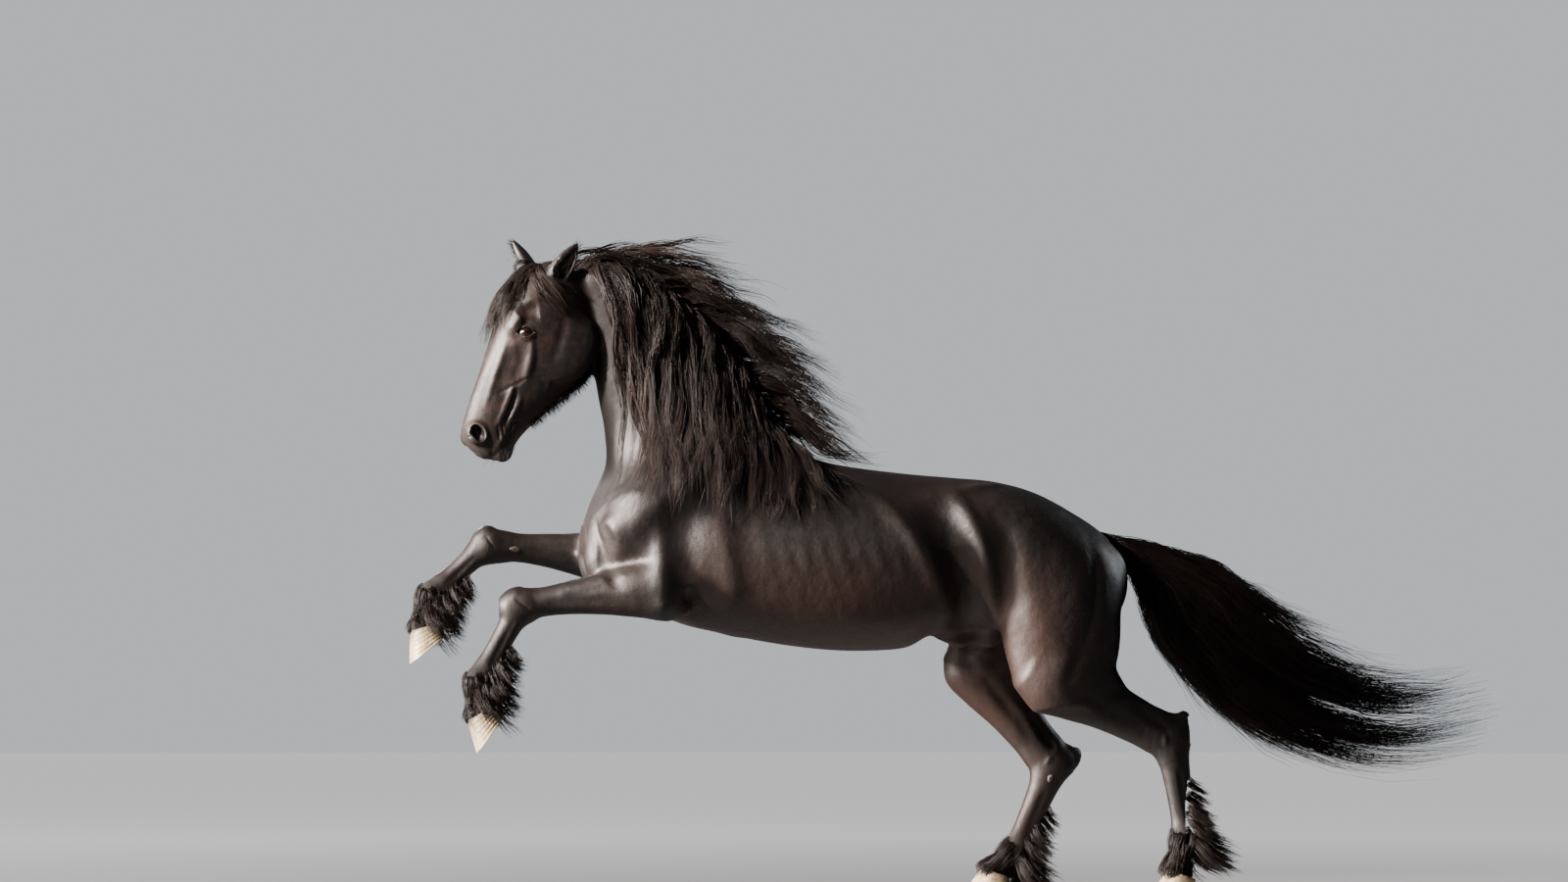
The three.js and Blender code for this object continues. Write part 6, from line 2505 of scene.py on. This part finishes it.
@dataclass
class Board:
    """The flat display base: a painted board with round corners and softened edges."""

    length: float = 2.0
    width: float = 0.8
    thickness: float = 50 * MM
    corner: float = 110 * MM
    bevel: float = 7 * MM

    def ring(self, inset: float, height: float, steps: int = 20) -> Array:
        """The outline drawn in by an inset, at a height: four quarter circles.

        Args:
            inset: How far it is drawn in.
            height: Its height.
            steps: Points in each quarter.

        Returns:
            The points in order.
        """
        turn = np.linspace(0, np.pi / 2, steps)
        radius = self.corner - inset
        x, y = self.length / 2 - self.corner, self.width / 2 - self.corner
        quarters = [
            np.stack([sx * x + radius * np.cos(turn + start), sy * y + radius * np.sin(turn + start)], 1)
            for sx, sy, start in ((1, 1, 0), (-1, 1, np.pi / 2), (-1, -1, np.pi), (1, -1, 1.5 * np.pi))
        ]
        flat = np.concatenate(quarters)
        return np.column_stack([flat, np.full(len(flat), height)])

    def build(self, material: Material) -> None:
        """Makes the board from its outline, each edge rounded by a quarter circle.

        Args:
            material: The finish.
        """
        bend = np.linspace(0, np.pi / 2, 6)
        inset, rise = self.bevel * (1 - np.sin(bend)), self.bevel * (1 - np.cos(bend))
        rings = [self.ring(a, b) for a, b in zip(inset, rise)]
        rings += [self.ring(a, self.thickness - b) for a, b in zip(inset[::-1], rise[::-1])]
        inner = [self.ring(self.corner - 1 * MM, 0)], [self.ring(self.corner - 1 * MM, self.thickness)]
        piece = new_object("stand_board", *closed_rows(np.stack([*inner[0], *rings, *inner[1]])), False)
        finish_piece(piece, material, ("stand_base",))


def placed_matrix(place: Triple, forward: Array) -> Matrix:
    """The matrix of a camera or lamp at a place that looks forward, its right side level.

    Args:
        place: Where it stands, in metres.
        forward: The way that it looks.

    Returns:
        The matrix.
    """
    ahead = unit(np.asarray(forward, float))
    right = unit(np.cross(ahead, UP))
    matrix = np.eye(4)
    matrix[:3] = np.stack([right, np.cross(right, ahead), -ahead, np.array(place)], 1)
    return Matrix(matrix.tolist())


@dataclass
class Studio:
    """A pale floor, soft lamps and the camera of the photo."""

    eye: Triple = (-3.008154, -15.722997, 0.6145)
    forward: Triple = (0.15620477, 0.98623813, 0.05417035)
    lens: float = 116.30
    near_glow: float = 0.25
    far_glow: float = 0.54
    floor_colour: Triple = (0.11, 0.111, 0.1125)
    far_floor: Triple = (0.80, 0.83, 0.86)
    sky: Triple = (0.80, 0.84, 0.88)
    glow: float = 0.08
    backdrop: float = 0.70
    radius: float = 70.0

    def build(self) -> None:
        """Sets up the floor, the air's light, the lamps and the camera."""
        self.floor()
        self.air()
        warm, cool = (1.0, 0.87, 0.80), (0.90, 0.95, 1.0)
        self.lamp("key", (-10.2, -0.8, 3.0), (-0.3, 0, 1.1), 0.16, 25, warm, "SUN")
        face = self.lamp("face", (-7.4, -3.6, 5.2), (-1.35, -0.1, 1.72), 0.9, 15000, warm, "SPOT")
        face.data.spot_size = 0.26
        face.data.spot_blend = 1.0
        self.lamp("side", (-7.0, -8.0, 3.6), (-0.3, 0, 1.1), 2.4, 80, warm)
        self.lamp("far", (-3.0, 9.0, 5.6), (0, 0, 1.1), 1.6, 1500, cool, "POINT")
        self.lamp("rear", (8.0, 4.0, 4.2), (0.3, 0, 1.0), 1.6, 800, cool, "POINT")
        lens = bpy.data.cameras.new("camera")
        lens.lens = self.lens
        lens.sensor_width = 36
        lens.clip_end = 200
        camera = self.linked("camera", lens, self.eye, np.array(self.forward))
        bpy.context.scene.camera = camera

    @staticmethod
    def linked(name: str, data: bpy.types.ID, place: Triple, forward: Array) -> Piece:
        """Adds a camera or a lamp to the scene.

        Args:
            name: Its name.
            data: The camera or light.
            place: Where it stands, in metres.
            forward: The way that it looks.

        Returns:
            The object.
        """
        made = bpy.data.objects.new(name, data)
        made.matrix_world = placed_matrix(place, forward)
        bpy.context.scene.collection.objects.link(made)
        return made

    def floor(self) -> None:
        """A wide round floor just under the board."""
        count, under = 96, -0.5 * MM
        turn = round_steps(count)[0]
        ring = np.stack([self.radius * np.cos(turn), self.radius * np.sin(turn), np.full(count, under)], 1)
        points = np.concatenate([ring, [[0, 0, under]]])
        index = np.arange(count)
        faces = np.stack([index, np.roll(index, -1), np.full(count, count)], 1)
        piece = new_object("studio_floor", points, faces)
        s = Shader("studio floor")
        place = s.node("ShaderNodeTexCoord").outputs["Object"]
        reach = s.node("ShaderNodeVectorMath", {0: place}, operation="LENGTH").outputs["Value"]
        far = s.spread(reach, 3.0, 10.0, self.near_glow, self.far_glow)
        s.surface(Base_Color=self.floor_colour, Roughness=0.7)
        seen = s.times(far, s.node("ShaderNodeLightPath").outputs["Is Camera Ray"])
        s.surface(Emission_Color=self.far_floor, Emission_Strength=seen)
        piece.data.materials.append(s.material)

    def air(self) -> None:
        """Even pale light from all round, weaker on the animal than the backdrop looks."""
        world = bpy.data.worlds.new("studio air")
        bpy.context.scene.world = world
        world.use_nodes = True
        s = Nodes(world.node_tree)
        seen = s.node("ShaderNodeLightPath").outputs["Is Camera Ray"]
        back = s.tree.nodes["Background"].inputs
        s.give(back["Color"], self.sky)
        s.give(back["Strength"], s.blend(seen, self.glow, self.backdrop))

    def lamp(self, name: str, place: Triple, target: Triple, size: float, power: float, tone: Triple,
             kind: str = "AREA") -> Piece:
        """A soft lamp: a square that faces a target, far light of a given angle, or a ball.

        Args:
            name: Its name.
            place: Where it stands, in metres.
            target: What it looks at.
            size: A square's side, a far light's angle or a ball's width.
            power: Its power.
            tone: Its colour.
            kind: The kind of light.

        Returns:
            The lamp.
        """
        light = bpy.data.lights.new(name, kind)
        light.color = tone
        if kind == "AREA":
            light.size = size
        elif kind == "SUN":
            light.angle = size
        else:
            light.shadow_soft_size = size / 2
        light.energy = power
        return self.linked(name, light, place, np.array(target) - np.array(place))


FLESH = ["torso", "neck", "head", "ear_left", "ear_right"] + [
    f"{leg}_{side.name.lower()}_{part}"
    for side in Side for leg in ("foreleg", "hindleg") for part in ("upper", "lower")
]


@dataclass
class Horse:
    """The whole animal, from the skin out to the hair."""

    body: Body = field(default_factory=Body)

    def build(self) -> None:
        """Makes every piece and its finish."""
        streaks, mottle = streaks_effect(), mottle_effect()
        coat = CoatFinish().material(streaks, mottle)
        hair = HairFinish().material(streaks)
        short = HairFinish("short hair", (0.0070, 0.0052, 0.0045), (0.016, 0.011, 0.009), 0.5)
        short = short.material(streaks)
        horn = HornFinish().material(streaks, mottle)
        callus = HornFinish("leg callus", (0.075, 0.058, 0.046), (0.03, 0.022, 0.018))
        callus = callus.material(streaks, mottle)
        skin = Skin(self.body).build()
        finish_piece(skin, coat, FLESH)
        wet = EyeFinish().material(streaks)
        for seat in self.body.seats:
            Eyeball(seat, f"eye_{seat.side.name.lower()}").build(wet)
        for limbs in LIMBS.values():
            self.feet(limbs, horn, callus, hair)
        Mane(self.body, hair).build()
        Forelock(self.body, hair).build()
        Tail(self.body, hair).build()
        CoatTufts(self.body, skin).build(short)
        self.fringes(short)
        Board().build(BoardFinish().material(streaks, mottle))

    def feet(self, limbs: Limbs, horn: Material, callus: Material, hair: Material) -> None:
        """The hooves, chestnuts and feather of one side.

        Args:
            limbs: The limbs of one side.
            horn: The hooves' finish.
            callus: The chestnuts' finish.
            hair: The long hair's finish.
        """
        side = limbs.side.name.lower()
        toe = unit(np.array(limbs.fore_toe, float))
        up = unit(np.array((toe[2], 0, -toe[0])))
        middle = limbs.place("fore_coronet") - 50 * MM * up + 24 * MM * toe
        Hoof(f"foreleg_{side}_hoof", middle, toe, up).build(horn)
        coronet = limbs.place("hind_coronet")
        sole = np.array((coronet[0] - 12 * MM, coronet[1], FLOOR))
        Hoof(f"hindleg_{side}_hoof", sole, np.array((-1.0, 0, 0)), UP).build(horn)
        forearm, cannon, pastern = limbs.fore()
        inner = -limbs.side.value * 60 * MM * np.array((0, 1.0, 0))
        place = forearm.point(400, -6, 0) + inner
        Chestnut(f"chestnut_fore_{side}", self.body, place, forearm.axis).build(callus)
        _, _, shank, hind_pastern = limbs.hind()
        place = shank.point(50, 6, 0) + inner
        Chestnut(f"chestnut_hind_{side}", self.body, place, shank.axis, 26 * MM).build(callus)
        Feather(f"feather_fore_{side}", self.body, hair, cannon, pastern, (1.1, 0, -0.5), seed=51).build()
        Feather(f"feather_hind_{side}", self.body, hair, shank, hind_pastern,
                (1.3, 0, -0.6), (0.3, 0, 0.4), seed=61).build()

    def fringes(self, short: Material) -> None:
        """Lashes, whiskers, the beard under the jaw and the hair in the ears.

        Args:
            short: The short hair's finish.
        """
        body = self.body
        for side in Side:
            s, tag = side.value, side.name.lower()
            seat = next(seat for seat in body.seats if seat.side is side)
            corner = np.linspace(-0.9, 0.9, 9)[:, None] * seat.length * MM
            lid = (1 - (corner / (seat.length * MM)) ** 2) * seat.above * MM
            backward, lift, outward = seat.turns
            lid_edge = seat.centre + corner * backward + lid * lift + outward * (seat.radius - 1) * MM
            way = outward * 0.9 + lift * 0.35 - UP * 0.2
            Fringe(f"lashes_{tag}", body, lid_edge, way, 13 * MM, 0.7 * MM, 60,
                   1 * MM, 0.5, 0.12, 71).build(short)
            places = (540, -60, 40), (580, -50, 40), (600, -20, 34)
            lip = np.array([HEAD.point(a, h, s * b) for a, h, b in places])
            way = HEAD.axis * 0.5 + HEAD.across * s * 0.6 - UP * 0.5
            Fringe(f"whiskers_{tag}", body, lip, way, 44 * MM, 0.7 * MM, 46,
                   10 * MM, 0.3, 0.3, 73).build(short)
            places = (230, -180), (300, -176), (380, -138), (470, -100)
            jaw = np.array([HEAD.point(a, h, s * 40) for a, h in places])
            Fringe(f"beard_{tag}", body, jaw, -HEAD.rise + HEAD.axis * 0.3, 28 * MM, 1.2 * MM, 620,
                   9 * MM, 0.2, 0.25, 79).build(short)
            ear = EARS[side]
            edges = [ear.base + (ear.tip - ear.base) * t + unit(np.array(ear.opening)) * 8 * MM
                     for t in np.linspace(0.1, 0.9, 7)]
            way = unit(ear.tip - ear.base) + 0.3 * np.array(ear.opening)
            Fringe(f"ear_hair_{tag}", body, np.array(edges), way, 26 * MM, 1.0 * MM, 420,
                   7 * MM, 0.0, 0.25, 83).build(short)


def main() -> None:
    """Builds the horse and the studio."""
    Horse().build()
    Studio().build()


if __name__ == "__main__":
    main()
